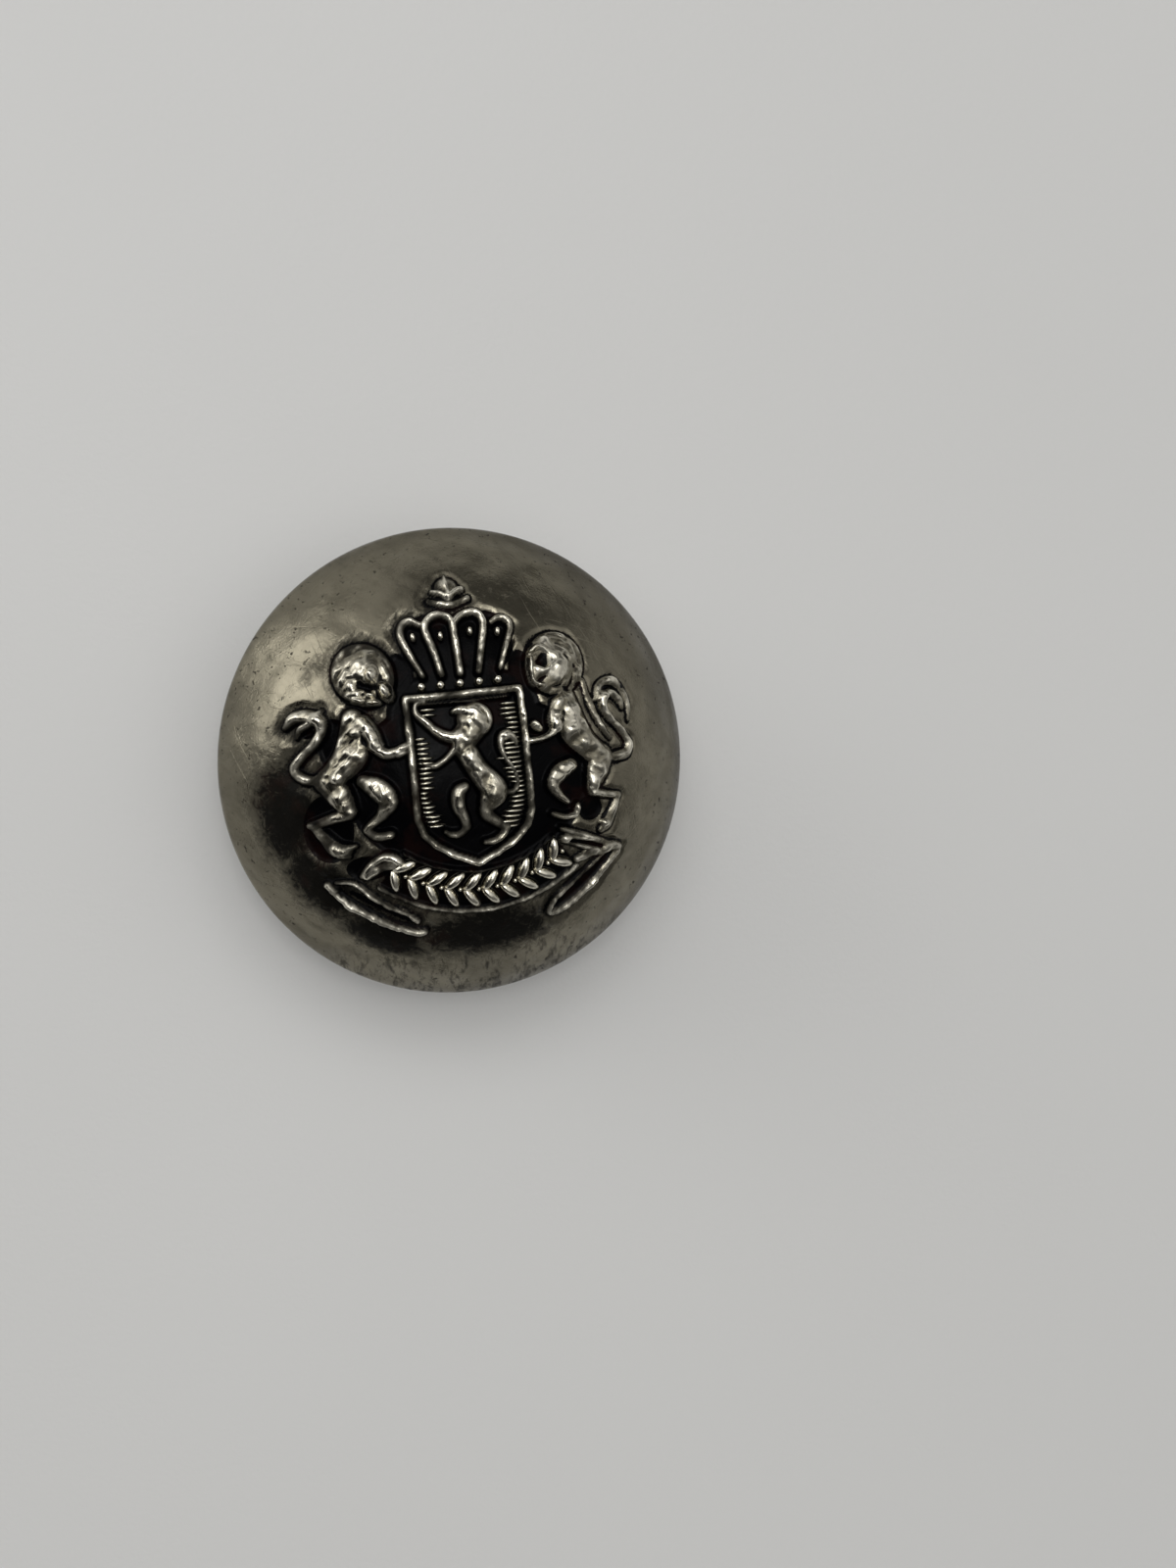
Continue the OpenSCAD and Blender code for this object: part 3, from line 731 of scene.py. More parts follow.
def strikeDevice():
    # In the order of striking: the tool, its shapes, and how full, how blended and how wide.
    steps = [
        (addStroke, leftTail + rightTail, .5, .05, True, girth["tails"]),
        (addStroke, leftLion + rightLion, .5, .09, True, girth["lions"]),
        (addBlob, heads, .42, .06),
        (engrave, manes, .13),
        (addBlob, muzzles, .75, .1, False),
        (addStroke, faceRidges, .6, .04, False),
        (addBlob, [(x, y, r, r, 0, top) for x, y, r, top in muscles], .6, .12, False),
        (addStroke, leftArm + rightArm, .5, .04, True, girth["arms"]),
        (addStroke, charge, .5, .05, True, girth["charge"]),
        (addStroke, crownShadow, .4, .04, False),
        (addStroke, folds, .3, .04),
        (addStroke, crownRibs, .55, .03, True, girth["crown"]),
        (addStroke, finial + ribbonEnds, .55, .03, True, girth["ribbon"]),
        (engrave, slots, .4),
    ]
    for tool, shapes, *settings in steps:
        for shape in shapes:
            tool(figures, shape, *settings)
    for x, y, r, depth in hollows:
        engrave(figures, [(x, y, r), (x + .01, y, r)], depth)
    cx, cy = ribbon["centre"]
    r = np.hypot(gridX - cx, gridY - cy)
    a = np.degrees(np.arctan2(gridX - cx, cy - gridY))
    across = np.minimum(r - ribbon["inner"], ribbon["outer"] - r)
    onBand = smoothStep(across, 0, .08) * smoothStep(ribbon["spread"] + 1 - np.abs(a), 0, 1.2)
    level = shell["ground"] + (ribbon["level"] - shell["ground"]) * onBand
    np.maximum(figures, level, out=figures)
    gap[:] = np.minimum(gap, np.maximum(-across, (np.abs(a) - ribbon["spread"]) * .12))
    for radius, width, top in ((ribbon["inner"], .09, .12), (ribbon["outer"], .12, .22)):
        line = [(cx + radius * math.sin(math.radians(t)), cy - radius * math.cos(math.radians(t)),
                 width, top)
                for t in np.linspace(-ribbon["spread"], ribbon["spread"], 19)]
        addStroke(figures, line, .55, .03)
    outline = [(*p, shield["border"], shield["height"]) for p in shieldOutline(shield)]
    for p, q in zip(outline, outline[1:] + outline[:1]):
        addStroke(figures, [p, q], .5, .02)
    addStroke(figures, [(-2.3, 3.62, .09, .1), (0, 3.58, .09, .12), (2.4, 3.62, .08, .1)], .5, .02)


def sample(field, x, y):
    u = (x + half) / shell["rasterStep"]
    v = (y + half) / shell["rasterStep"]
    i = np.clip(u.astype(int), 0, side - 2)
    j = np.clip(v.astype(int), 0, side - 2)
    fu, fv = u - i, v - j
    return ((field[j, i] * (1 - fu) + field[j, i + 1] * fu) * (1 - fv)
            + (field[j + 1, i] * (1 - fu) + field[j + 1, i + 1] * fu) * fv)


def castGrain(sigma, seed, stretch=1.0):
    noise = blurred(np.random.default_rng(seed).standard_normal((side, side)), sigma, stretch)
    return noise / noise.std()


def furGrain(seed, turn):
    c, s = math.cos(math.radians(turn)), math.sin(math.radians(turn))
    return sample(castGrain(.06, seed, 4.5), gridX * c + gridY * s, gridY * c - gridX * s)


strikeDevice()

# Where the blacking has been rubbed away, and where the legs and the upper left stay dull.
clean = smoothStep(gridX + .4 * gridY, 1, 6)
lowerLegs = smoothStep(-gridY, -.3, 1.2) * (1 - smoothStep(-gridY, 3.6, 4.0))
lowerLegs *= 1 - smoothStep(gridX, 4.4, 5.4)
upperLeft = smoothStep(gridY, 3, 4.2) * smoothStep(-gridX, 5.2, 6.4)
clean = np.maximum(clean, .5 * upperLeft)

# The ground sinks in a moat round the figures and in the broad fields.
unevenGap = gap + shell["unevenness"] * castGrain(.22, 3)
moat = 1 - smoothStep(unevenGap, shell["groundReach"][0], shell["groundReach"][1] - .35 * clean)
sunk = moat * shell["moatDepth"] * (1 - .3 * clean)
for cx, cy, rx, ry in fields:
    s = np.sqrt(((gridX - cx) / rx)**2 + ((gridY - cy) / ry)**2)
    sunk = np.maximum(sunk, 1 - smoothStep((s - 1) * min(rx, ry), -.25, .15))

# The relief: figures with cast grain and fur over the sunk ground, level with the dome at its edge.
fineGrain, coarseGrain, furDepth = shell["grain"]
fur = np.where(gridX < 0, furGrain(7, 40), furGrain(8, -40))
figures += smoothStep(figures, 0, .2) * (
    fineGrain * castGrain(.09, 5) + coarseGrain * castGrain(.22, 6) + furDepth * fur)
relief = np.maximum(figures, shell["ground"] * sunk)
edge = smoothStep(np.hypot(gridX, gridY), shell["deviceRadius"] - .3, shell["deviceRadius"] - .02)
relief = blurred(relief, shell["soften"]) * (1 - edge)
around = blurred(relief, .28)

# Masks for the material: blacking in the recesses, polish on the crests, grime near the figures.
figure = smoothStep(-gap, -.1, .05)
recess = smoothStep(around - relief, .01, .09) * .9 * np.maximum(figure, moat * .6)
recess = np.maximum(recess, figure * smoothStep(.1 - relief, 0, .14))
recess = np.maximum(recess, smoothStep(-relief, .1, .22))
recess = np.maximum(recess, blurred(smoothStep(-relief, .12, .24), .12) * .8)
crest = smoothStep(relief - around, .02, .14) * smoothStep(relief, .08, .24)
crest = np.maximum(crest, smoothStep(relief, .3, .5) * (.6 + .2 * smoothStep(gridX, -2, 4)))
crest *= .55 + .45 * smoothStep(castGrain(.2, 9) + .6 * castGrain(.08, 10), -.9, .5)
crest *= 1 - .65 * lowerLegs
grime = np.clip(np.exp(-np.clip(gap, 0, None) / (.8 - .5 * clean)) * (1.05 - .5 * clean), 0, 1)
grime *= 1 - .75 * smoothStep(relief, .12, .38)
print("device struck")


def onDome(x, y, height=0.0):
    z = domeZ + np.sqrt(domeRadius**2 - x**2 - y**2)
    n = np.stack([x, y, z - domeZ], -1) / domeRadius
    return np.stack([x, y, z], -1) + n * np.expand_dims(np.asarray(height) * np.ones_like(x), -1)


def deviceGrid(n):
    t = np.linspace(-1, 1, n + 1)
    a, b = np.meshgrid(t, t)
    wide = np.abs(a) > np.abs(b)
    safeA = np.where(a == 0, 1, a)
    safeB = np.where(b == 0, 1, b)
    angle = np.where(wide, math.pi / 4 * b / safeA, math.pi / 2 - math.pi / 4 * a / safeB)
    r = np.where(wide, a, b) * shell["deviceRadius"]
    return r * np.cos(angle), r * np.sin(angle)


def sectionBelow():
    # The rest of the sheet as (r, z), from the shoulder round the rolled edge and back inside.
    def arc(cx, cz, r, a0, a1, n):
        return [(cx + r * math.cos(a), cz + r * math.sin(a)) for a in np.linspace(a0, a1, n)]
    start = math.acos(shell["shoulder"] / domeRadius)
    shoulder = math.atan2(shell["roll"] - domeZ, rollX)
    inner = domeRadius - shell["sheet"]
    innerRoll = shell["roll"] - shell["sheet"]
    flangeIn = rollX - shell["flange"]
    line = arc(0, domeZ, domeRadius, start, shoulder, 6)
    line += arc(rollX, shell["roll"], shell["roll"], shoulder, -math.pi / 2, 14)[1:]
    line += arc(flangeIn + .08, .08, .08, -math.pi / 2, -math.pi, 4)
    line += arc(flangeIn + .08, shell["sheet"] - .08, .08, math.pi, math.pi / 2, 4)
    line += arc(rollX, shell["roll"], innerRoll, -math.pi / 2, shoulder, 8)
    line += arc(0, domeZ, inner, shoulder, math.pi / 2, 12)[1:-1]
    return line


def strikeShell():
    n = shell["cells"]
    x, y = deviceGrid(n)
    x, y = x.ravel(), y.ravel()
    verts = [onDome(x, y, sample(relief, x, y))]
    marks = {"recess": [sample(recess, x, y)], "crest": [sample(crest, x, y)],
             "grime": [sample(grime, x, y)]}
    index = np.arange((n + 1)**2).reshape(n + 1, n + 1)
    quads = np.stack([index[:-1, :-1], index[:-1, 1:], index[1:, 1:], index[1:, :-1]],
                     -1).reshape(-1, 4).tolist()
    ring = np.concatenate([index[0, :-1], index[:-1, -1], index[-1, :0:-1], index[:0:-1, 0]])
    angles = np.arctan2(y[ring], x[ring])
    count = len(x)

    def addRing(r, z, a):
        nonlocal count
        verts.append(np.stack([r * np.cos(a), r * np.sin(a), np.full_like(a, z)], -1))
        ids = np.arange(count, count + len(a))
        count += len(a)
        for name in marks:
            marks[name].append(np.zeros(len(a)))
        return ids

    def joinHalved(fine, coarse):
        m = len(coarse)
        for k in range(m):
            f0, f1, f2 = fine[2 * k], fine[2 * k + 1], fine[(2 * k + 2) % len(fine)]
            c0, c1 = coarse[k], coarse[(k + 1) % m]
            quads.extend([[f0, c0, f1], [f1, c0, c1], [f1, c1, f2]])

    def joinEven(a, b):
        for k in range(len(a)):
            quads.append([a[k], b[k], b[(k + 1) % len(a)], a[(k + 1) % len(a)]])

    for step in shell["stitch"]:
        r = shell["deviceRadius"] + step
        angles = angles[::2]
        outer = addRing(r, domeZ + math.sqrt(domeRadius**2 - r**2), angles)
        joinHalved(ring, outer)
        ring = outer
    for r, z in sectionBelow():
        outer = addRing(r, z, angles)
        joinEven(ring, outer)
        ring = outer
    verts.append(np.array([[0, 0, domeZ + domeRadius - shell["sheet"]]]))
    for name in marks:
        marks[name].append(np.zeros(1))
    for k in range(len(ring)):
        quads.append([ring[k], count, ring[(k + 1) % len(ring)]])
    mesh = bpy.data.meshes.new("struckShell")
    mesh.from_pydata((np.vstack(verts) * mm).tolist(), [], [[int(i) for i in f] for f in quads])
    for name, parts in marks.items():
        layer = mesh.attributes.new(name, "FLOAT", "POINT")
        layer.data.foreach_set("value", np.clip(np.concatenate(parts), 0, 1).astype(np.float32))
    return finishPiece(mesh, "struckShell", frontMetal, "badge", "front_plate", "front_shell")


def finishPiece(mesh, name, material, body, slot, *nodes):
    mesh.name = name
    b = bmesh.new()
    b.from_mesh(mesh)
    bmesh.ops.recalc_face_normals(b, faces=b.faces)
    b.to_mesh(mesh)
    b.free()
    mesh.polygons.foreach_set("use_smooth", [True] * len(mesh.polygons))
    mesh.materials.clear()
    mesh.materials.append(material)
    mesh.update()
    piece = bpy.data.objects.new(name, mesh)
    bpy.context.scene.collection.objects.link(piece)
    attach(piece, body)
    if nodes:
        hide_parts(*nodes)
    return piece


strikeShell()
print("shell made")


# Ornament that repeats: small raised shapes draped on the dome

def geometryTree(name, **more):
    inputs = {"Geometry": ("Geometry", None), "Dome Radius": ("Float", domeRadius),
              "Dome Centre Z": ("Float", domeZ),
              "Sink": ("Float", 0.1), "Material": ("Material", None)}
    inputs.update({key.replace("_", " "): value for key, value in more.items()})
    return newTree(name, "GeometryNodeTree", inputs, {"Geometry": ("Geometry", None)})


def drape(tree, geometry, given):
    # A flat layout in millimetres, with heights in z, is laid over the dome and brought to metres.
    x, y, z = axesOf(tree, addNode(tree, "GeometryNodeInputPosition").outputs[0])
    flat = joined(tree, x, y)
    square = vectorMath(tree, "DOT_PRODUCT", flat, flat)["Value"]
    reach = times(tree, given["Dome Radius"], given["Dome Radius"])
    rise = mathNode(tree, "SQRT", mathNode(tree, "SUBTRACT", reach, square))
    height = mathNode(tree, "SUBTRACT", z, given["Sink"])
    grow = mathNode(tree, "ADD", 1.0, mathNode(tree, "DIVIDE", height, given["Dome Radius"]))
    out = scaled(tree, joined(tree, x, y, rise), grow)
    out = vectorMath(tree, "ADD", out, joined(tree, 0, 0, given["Dome Centre Z"]))[0]
    return linked(tree, "GeometryNodeSetPosition",
                  {"Geometry": geometry, "Position": scaled(tree, out, mm)})


def storeMark(tree, geometry, name, value):
    return linked(tree, "GeometryNodeStoreNamedAttribute",
                  {"Geometry": geometry, "Name": name, "Value": value},
                  data_type="FLOAT", domain="POINT")


def finishTree(tree, instances, given, result):
    # The higher part of each shape is polished, its foot is dark.
    geometry = linked(tree, "GeometryNodeRealizeInstances", {"Geometry": instances})
    height = axesOf(tree, addNode(tree, "GeometryNodeInputPosition").outputs[0])[2]
    geometry = storeMark(tree, geometry, "crest", rampNode(tree, height, .12, .3, 0, .9))
    geometry = storeMark(tree, geometry, "recess", rampNode(tree, height, .16, .0, 0, 1))
    geometry = drape(tree, geometry, given)
    paint = {"Geometry": geometry, "Material": given["Material"]}
    feed(tree, result[0], linked(tree, "GeometryNodeSetMaterial", paint))
    return tree


def buildStuds():
    tree, given, result = geometryTree("studsOnDome", Segments=("Int", 12))
    stud = linked(tree, "GeometryNodeMeshUVSphere", {"Segments": given["Segments"], "Rings": 7})
    size, turn = (linked(tree, "GeometryNodeInputNamedAttribute", {"Name": name},
                         data_type="FLOAT_VECTOR")
                  for name in ("size", "turn"))
    placed = linked(tree, "GeometryNodeInstanceOnPoints",
                    {"Points": given["Geometry"], "Instance": stud, "Rotation": turn,
                     "Scale": size})
    return finishTree(tree, placed, given, result)


def buildGarland():
    # Pairs of leaves with a berry between them, along an arc on the ribbon.
    tree, given, result = geometryTree(
        "garlandOnDome", Centre_X=("Float", .1), Centre_Y=("Float", 1.3), Radius=("Float", 7.55),
        Spread=("Float", .6), Leaf_Length=("Float", .62), Leaf_Width=("Float", .2),
        Leaf_Height=("Float", .34),
        Leaf_Turn=("Float", .75), Count=("Int", 12))
    start = mathNode(tree, "SUBTRACT", -math.pi / 2, given["Spread"])
    arc = linked(tree, "GeometryNodeCurveArc",
                 {"Resolution": 64, "Radius": given["Radius"], "Start Angle": start,
                  "Sweep Angle": times(tree, given["Spread"], 2.0)}, mode="RADIUS")
    centre = joined(tree, given["Centre X"], given["Centre Y"])
    arc = linked(tree, "GeometryNodeTransform", {"Geometry": arc, "Translation": centre})
    points = addNode(tree, "GeometryNodeCurveToPoints", mode="COUNT")
    feed(tree, points.inputs["Curve"], arc)
    feed(tree, points.inputs["Count"], given["Count"])
    motif = addNode(tree, "GeometryNodeJoinGeometry")
    ball = linked(tree, "GeometryNodeMeshUVSphere", {"Segments": 14, "Rings": 8})
    size = joined(tree, given["Leaf Length"], given["Leaf Width"], given["Leaf Height"])
    parts = []
    for sign in (1.0, -1.0):
        turn = joined(tree, 0, 0, times(tree, given["Leaf Turn"], sign))
        parts.append(((-.02, sign * .43, 0), turn, size))
    parts.append(((.34, 0, 0), (0, 0, 0), (.15, .15, .3)))
    for place, turn, scale in parts:
        leaf = {"Geometry": ball, "Translation": place, "Rotation": turn, "Scale": scale}
        feed(tree, motif.inputs[0], linked(tree, "GeometryNodeTransform", leaf))
    along = axesOf(tree, points.outputs["Tangent"])
    heading = joined(tree, 0, 0, mathNode(tree, "ARCTAN2", along[1], along[0]))
    placed = linked(tree, "GeometryNodeInstanceOnPoints",
                    {"Points": points.outputs["Points"], "Instance": motif.outputs[0],
                     "Rotation": heading})
    return finishTree(tree, placed, given, result)


def runTree(tree, base, name, settings):
    holder = bpy.data.objects.new(name + "Base", base)
    bpy.context.scene.collection.objects.link(holder)
    modifier = holder.modifiers.new("ornament", "NODES")
    modifier.node_group = tree
    ids = {item.name: item.identifier for item in tree.interface.items_tree
           if item.in_out == "INPUT"}
    for key, value in settings.items():
        modifier[ids[key]] = value
    ready = holder.evaluated_get(bpy.context.evaluated_depsgraph_get())
    mesh = bpy.data.meshes.new_from_object(ready)
    bpy.data.objects.remove(holder)
    return mesh


def studPoints(rows):
    # rows: (x, y, half sizes, turn in degrees)
    mesh = bpy.data.meshes.new("studPoints")
    mesh.from_pydata([(r[0], r[1], 0) for r in rows], [], [])
    size = mesh.attributes.new("size", "FLOAT_VECTOR", "POINT")
    size.data.foreach_set("vector", np.array([r[2] for r in rows], np.float32).ravel())
    turn = mesh.attributes.new("turn", "FLOAT_VECTOR", "POINT")
    turns = [(0, 0, math.radians(r[3])) for r in rows]
    turn.data.foreach_set("vector", np.array(turns, np.float32).ravel())
    return mesh


studTree = buildStuds()
pearls = {"count": 5, "start": (-2.05, 4.48), "step": .98, "size": (.25, .25, .42),
          "inner": [(-2.12, 7.0), (-.72, 6.95), (.82, 7.05), (2.25, 6.9)],
          "innerSize": (.17, .24, .34)}
rows = [(pearls["start"][0] + k * pearls["step"], pearls["start"][1], pearls["size"],
         0) for k in range(pearls["count"])]
rows += [(x, y, pearls["innerSize"], 0) for x, y in pearls["inner"]]
mesh = runTree(studTree, studPoints(rows), "crownPearls",
               {"Sink": .12, "Segments": 16, "Material": frontMetal})
finishPiece(mesh, "crownPearls", frontMetal, "badge", "front_plate")

hatching = {
    "pitch": .25,
    "right": (-3.0, 3.5),     # the rows on each side run from here to here
    "left": (-2.6, 2.0),
    "edge": 2.82,             # the outer end of a row, which comes in below taperBelow
    "taperBelow": -1.9,
    "size": .095,
    "height": .34,
    "seed": 8,
}


def hatchRows(h):
    rng = np.random.default_rng(h["seed"])
    rows = []
    for sign, (low, high) in ((1, h["right"]), (-1, h["left"])):
        for y in np.arange(low, high, h["pitch"]):
            edge = h["edge"] - max(0, h["taperBelow"] - y) * .42
            length = (.42 + .3 * abs(math.sin(y * .9 + 1))) * rng.uniform(.75, 1.1)
            length *= 1 if sign > 0 else .75
            size = (length, h["size"], h["height"] * rng.uniform(.85, 1.1))
            rows.append((sign * (edge - length), y, size, rng.uniform(-4, 4)))
    for y in (3.32, 3.05):
        rows.append((-1.95, y, (.5, h["size"], h["height"]), 0))
    return rows


mesh = runTree(studTree, studPoints(hatchRows(hatching)), "shieldHatching",
               {"Sink": .24, "Segments": 10, "Material": frontMetal})
finishPiece(mesh, "shieldHatching", frontMetal, "badge", "front_plate")

garland = {"Centre X": .1, "Centre Y": 1.3, "Radius": 7.5, "Spread": .585, "Leaf Length": .74,
           "Leaf Width": .29,
           "Leaf Height": .54, "Leaf Turn": .85, "Count": 10, "Sink": .22}
mesh = runTree(buildGarland(), bpy.data.meshes.new("garlandBase"), "ribbonGarland",
               {**garland, "Material": frontMetal})
finishPiece(mesh, "ribbonGarland", frontMetal, "badge", "front_plate")
print("ornament made")


# Back: the pressed sheet, the collar, the wire eye and the split pin

def rounded(corners, radius, steps=4):
    # A closed outline with each corner eased, for the pressed and turned sections.
    out = []
    p = [np.array(c, float) for c in corners]
    for a, b, c in zip([p[-1]] + p[:-1], p, p[1:] + [p[0]]):
        r = min(radius, .45 * np.linalg.norm(a - b), .45 * np.linalg.norm(c - b))
        start = b + (a - b) / np.linalg.norm(a - b) * r
        end = b + (c - b) / np.linalg.norm(c - b) * r
        for t in np.linspace(0, 1, steps):
            out.append((1 - t)**2 * start + 2 * t * (1 - t) * b + t**2 * end)
    return out


def revolved(outline, segments):
    angles = np.linspace(0, 2 * math.pi, segments, endpoint=False)
    verts = [(r * math.cos(a) * mm, r * math.sin(a) * mm, z * mm) for a in angles for r,
             z in outline]
    n = len(outline)
    faces = []
    for i in range(segments):
        k = (i + 1) % segments
        for j in range(n):
            m = (j + 1) % n
            faces.append((i * n + j, k * n + j, k * n + m, i * n + m))
    mesh = bpy.data.meshes.new("revolved")
    mesh.from_pydata(verts, [], faces)
    return mesh


def swept(path, side, section, taper):
    # side is square to the path's plane, and section holds (outward, sideways) points.
    path = np.array(path, float)
    side = np.array(side, float)
    verts, rings = [], []
    for k, point in enumerate(path):
        t = path[min(k + 1, len(path) - 1)] - path[max(k - 1, 0)]
        t /= np.linalg.norm(t)
        out = np.cross(side, t)
        ends = min(k, len(path) - 1 - k)
        shrink = taper[ends] if ends < len(taper) else 1
        rings.append(range(len(verts), len(verts) + len(section)))
        middle = np.mean([s[0] for s in section])
        for u, v in section:
            verts.append((point + out * (middle + (u - middle) * shrink) + side * v * shrink) * mm)
    faces = []
    n = len(section)
    for a, b in zip(rings[:-1], rings[1:]):
        for j in range(n):
            m = (j + 1) % n
            faces.append((a[j], a[m], b[m], b[j]))
    for ring, step in ((rings[0], -1), (rings[-1], 1)):
        faces.append(tuple(ring)[::step])
    mesh = bpy.data.meshes.new("swept")
    mesh.from_pydata([tuple(v) for v in verts], [], faces)
    return mesh


back = {"seatIn": 5.0, "seatOut": 11.05, "seat": .1, "sheet": .4, "edge": 11.8, "well": .5,
        "hole": 2.85, "bead": 8.025,
        "beadRise": .33, "beadWidth": .55}


def backSection(b):
    low, high = b["seat"], b["seat"] + b["sheet"]
    bead = [(b["bead"] + x * b["beadWidth"],
             low + b["beadRise"] * math.cos(x * math.pi / 2)**2) for x in np.linspace(1, -1, 9)]
    inside = [(r, z + b["sheet"]) for r, z in bead[::-1]]
    outline = [(b["hole"], b["well"]), (b["hole"], b["well"] + b["sheet"]),
               (b["seatIn"] + b["sheet"], b["well"] + b["sheet"]),
               (b["seatIn"] + b["sheet"], high)] + inside
    outline += [(b["seatOut"] - b["sheet"], high),
                (b["seatOut"] - b["sheet"], b["well"] + b["sheet"]),
                (b["edge"], b["well"] + b["sheet"]), (b["edge"], b["well"]),
                (b["seatOut"], b["well"]), (b["seatOut"], low)]
    outline += bead
    outline += [(b["seatIn"], low), (b["seatIn"], b["well"])]
    return rounded(outline, .14)


finishPiece(revolved(backSection(back), 192), "pressedBack", backMetal, "badge", "back_plate",
            "back_shell")

collar = {"barrel": 3.0, "wall": .25, "neck": 2.8, "reach": -2.2, "flange": 3.9, "seat": .25,
          "well": .5, "lip": 3.25,
          "lipTop": 1.65}


def collarSection(c):
    inside = c["neck"] - c["wall"]
    return rounded([(c["barrel"] - c["wall"], c["reach"]), (c["barrel"], c["reach"]),
                    (c["barrel"], c["seat"]),
                    (c["flange"], c["seat"]), (c["flange"], c["well"]), (c["neck"], c["well"]),
                    (c["neck"], c["lipTop"] - c["wall"]), (c["lip"], c["lipTop"] - c["wall"]),
                    (c["lip"], c["lipTop"]),
                    (inside, c["lipTop"]), (inside, c["seat"]),
                    (c["barrel"] - c["wall"], c["seat"])], .1)


finishPiece(revolved(collarSection(collar), 128), "drawnCollar", collarMetal, "badge", "collar",
            "shank_collar")

eye = {"wire": .65, "leg": 1.85, "bend": -3.2, "legTop": 1.65, "splay": .8, "end": 4.45}


def eyePath(e):
    # One leg from its splayed end, round the bend and down; the other mirrors it.
    elbow = e["leg"] + e["splay"]
    half = [(e["end"] - k * .2, e["legTop"] + e["splay"]) for k in range(9)]
    half = [(y, z) for y, z in half if y > elbow]
    for a in np.linspace(math.pi / 2, math.pi, 9):
        half.append((elbow + e["splay"] * math.cos(a), e["legTop"] + e["splay"] * math.sin(a)))
    for z in np.linspace(e["legTop"], e["bend"], 12)[1:]:
        half.append((e["leg"], z))
    for a in np.linspace(0, -math.pi / 2, 13)[1:]:
        half.append((e["leg"] * math.cos(a), e["bend"] + e["leg"] * math.sin(a)))
    other = [(-y, z) for y, z in half[-2::-1]]
    return [(0, y, z) for y, z in half + other]


turns = np.linspace(0, 2 * math.pi, 24, endpoint=False)
circle = [(eye["wire"] * math.cos(a), eye["wire"] * math.sin(a)) for a in turns]
finishPiece(swept(eyePath(eye), (1, 0, 0), circle, (.6, .86, .97)), "wireEye", wireMetal, "badge",
            "eye_wire", "shank_eye")

pin = {"z": -3.3, "wire": .8, "slit": .06, "long": -9.05, "short": -7.85, "neck": 6.9,
       "ring": 8.887, "ringIn": 1.1,
       "crotch": 28}


def pinPath(q):
    ring = math.radians(180 - q["crotch"])

    def bend(sign):
        a = np.array((q["neck"], sign * q["slit"]))
        d = np.array((q["ring"] + q["ringIn"] * math.cos(ring),
                      sign * q["ringIn"] * math.sin(ring)))
        b = a + (.62, 0)
        c = d - np.array((math.sin(ring), -math.cos(ring) * sign)) * .28
        return [(1 - t)**3 * a + 3 * (1 - t)**2 * t * b + 3 * (1 - t) * t**2 * c + t**3 * d
                for t in np.linspace(0, 1, 9)]

    path = [(x, q["slit"]) for x in np.linspace(q["long"], q["neck"], 40)] + bend(1)[1:]
    for a in np.linspace(ring, -ring, 40)[1:-1]:
        path.append((q["ring"] + q["ringIn"] * math.cos(a), q["ringIn"] * math.sin(a)))
    path += bend(-1)[::-1] + [(x, -q["slit"]) for x in np.linspace(q["neck"], q["short"], 38)[1:]]
    return [(p[0], p[1], q["z"]) for p in path]


def halfRound(r):
    arc = [(r * math.sin(a), -r * math.cos(a)) for a in np.linspace(.14, math.pi - .14, 15)]
    return [(0, -r * .82)] + [(max(u, .04), v) for u, v in arc] + [(0, r * .82)]


finishPiece(swept(pinPath(pin), (0, 0, 1), halfRound(pin["wire"]), (.45, .75, .93)), "brassPin",
            pinBrass,
            "split_pin", "pin_brass", "split_pin")

for name, material in (("card_filling", pressedCard), ("retaining_plate", plateSteel)):
    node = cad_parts[name]
    for materialSlot in node.material_slots:
        materialSlot.link = "OBJECT"
        materialSlot.material = material
print("back made")


# Studio

studio = {
    "floor": (0.70, 0.70, 0.69, 1),
    "key": {"toward": (-.12, .18, 1), "away": .6, "size": (.2, .16), "power": .64},
    "soft": {"toward": (-.1, .7, 1), "away": .6, "size": (.4, .25), "power": .58},
}


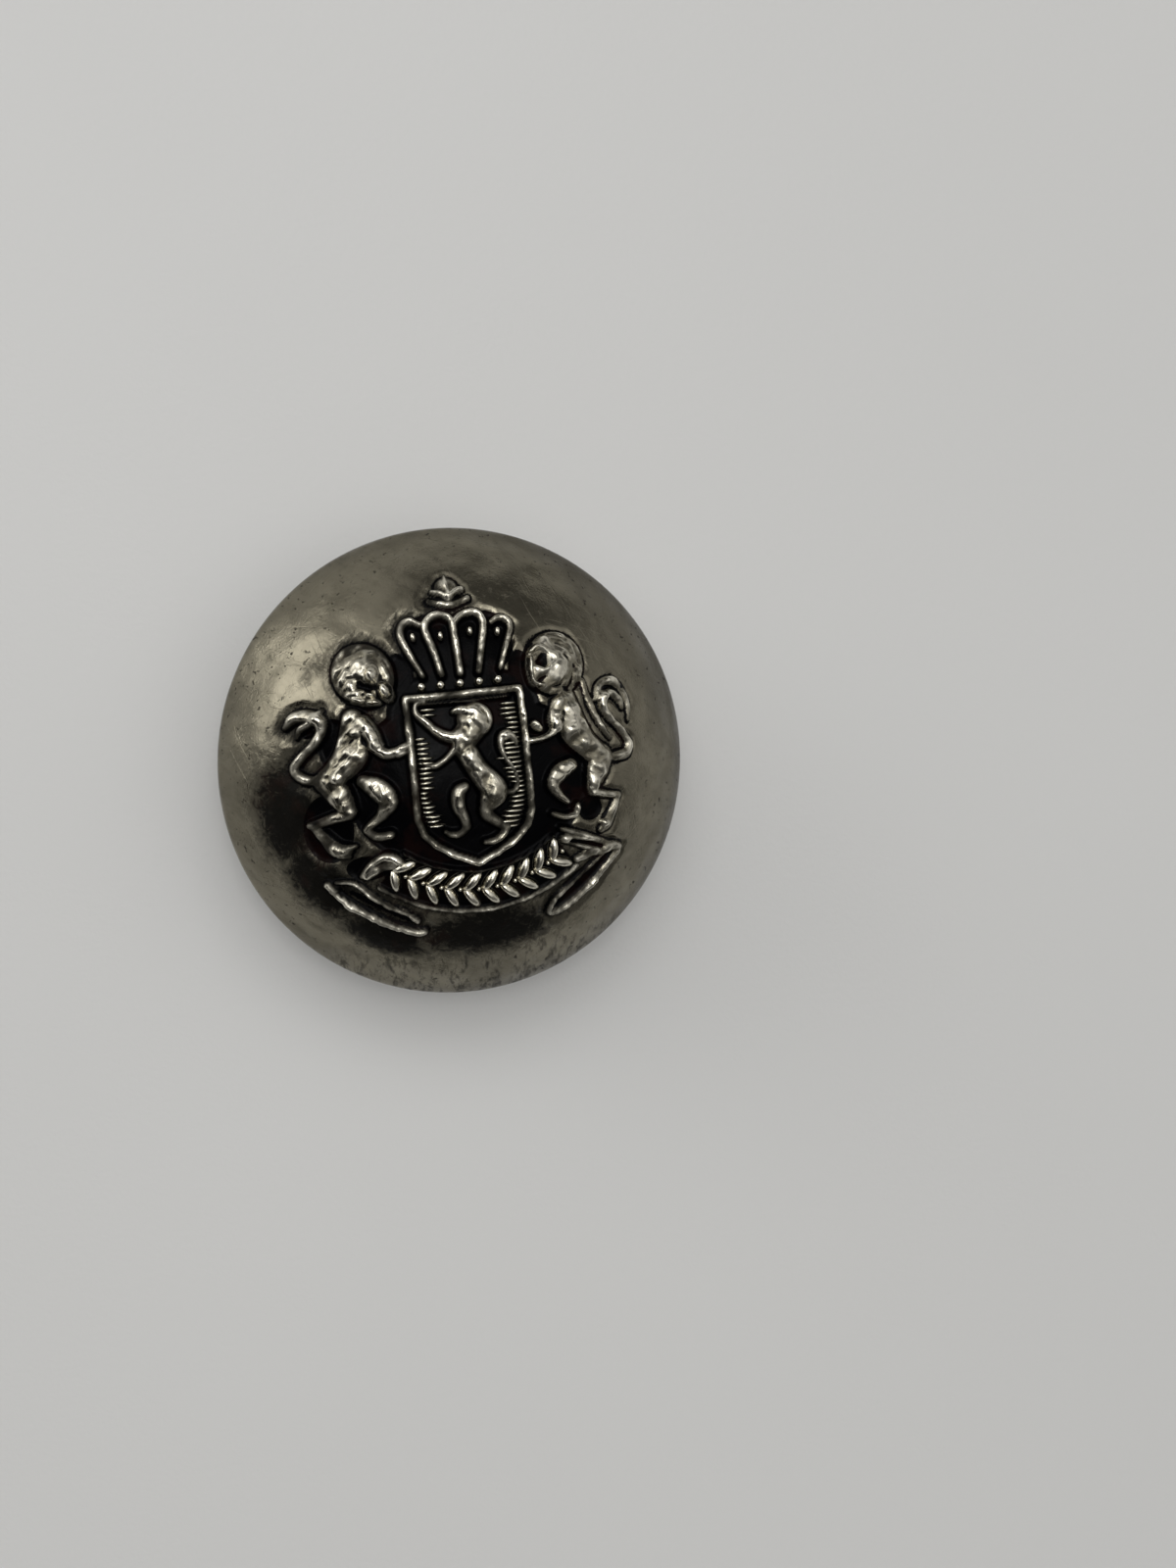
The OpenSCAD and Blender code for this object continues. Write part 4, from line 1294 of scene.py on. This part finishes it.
def makeFloor(low):
    size = 0.8
    mesh = bpy.data.meshes.new("tableTop")
    z = low.z
    mesh.from_pydata([(-size, -size, z), (size, -size, z), (size, size, z), (-size, size, z)], [],
                     [(0, 1, 2, 3)])
    floor = bpy.data.objects.new("tableTop", mesh)
    material, tree, shader, place = newMaterial("paleTable")
    # Painted shade: the table darkens a little in broad soft patches.
    shade = noiseNode(tree, place, 0.02, 3, 0.5)
    darker = tuple(c * .94 for c in studio["floor"][:3]) + (1,)
    feed(tree, shader["Base Color"], mixColor(tree, shade, darker, studio["floor"]))
    shader["Roughness"].default_value = 0.5
    fine = noiseNode(tree, place, 3.0, 3, 0.6)
    feed(tree, shader["Normal"], bumpNode(tree, fine, 0.08, 0.0002))
    mesh.materials.append(material)
    bpy.context.scene.collection.objects.link(floor)
    floor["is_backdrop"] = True


def makeLight(name, s):
    data = bpy.data.lights.new(name, "AREA")
    data.shape = "RECTANGLE"
    data.size, data.size_y = s["size"]
    data.energy = s["power"]
    light = bpy.data.objects.new(name, data)
    way = Vector(s["toward"]).normalized()
    light.location = way * s["away"]
    light.rotation_mode = "QUATERNION"
    light.rotation_quaternion = way.to_track_quat("Z", "Y")
    bpy.context.scene.collection.objects.link(light)


room = {
    "base": .12,
    "patches": [    # toward, inner and outer reach as a cosine, brightness added
        ((-.85, .49, .18), .985, .88, 2.2),
        ((-.45, .84, .30), .98, .82, .5),
        ((.93, .12, .20), .98, .78, .28),
        ((.25, .22, 1), .97, .64, .7),
        ((-.45, .5, .75), .98, .86, .45),
        ((-.85, -.35, .30), .98, .62, -.1),
    ],
    "tint": (1, .99, .97, 1),
}


def makeSurroundings(r):
    world = bpy.data.worlds.new("studioAir")
    bpy.context.scene.world = world
    world.use_nodes = True
    tree = world.node_tree
    background = tree.nodes["Background"]
    coords = addNode(tree, "ShaderNodeTexCoord").outputs["Generated"]
    level = r["base"]
    for toward, inner, outer, add in r["patches"]:
        facing = vectorMath(tree, "DOT_PRODUCT", coords, Vector(toward).normalized())["Value"]
        level = mathNode(tree, "ADD", rampNode(tree, facing, outer, inner, 0, add), level)
    background.inputs["Color"].default_value = r["tint"]
    feed(tree, background.inputs["Strength"], greater(tree, level, 0.01))


makeFloor(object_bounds()[0])
for name in ("key", "soft"):
    makeLight(name, studio[name])
makeSurroundings(room)
bpy.context.scene.view_settings.view_transform = "Standard"
print("studio set")
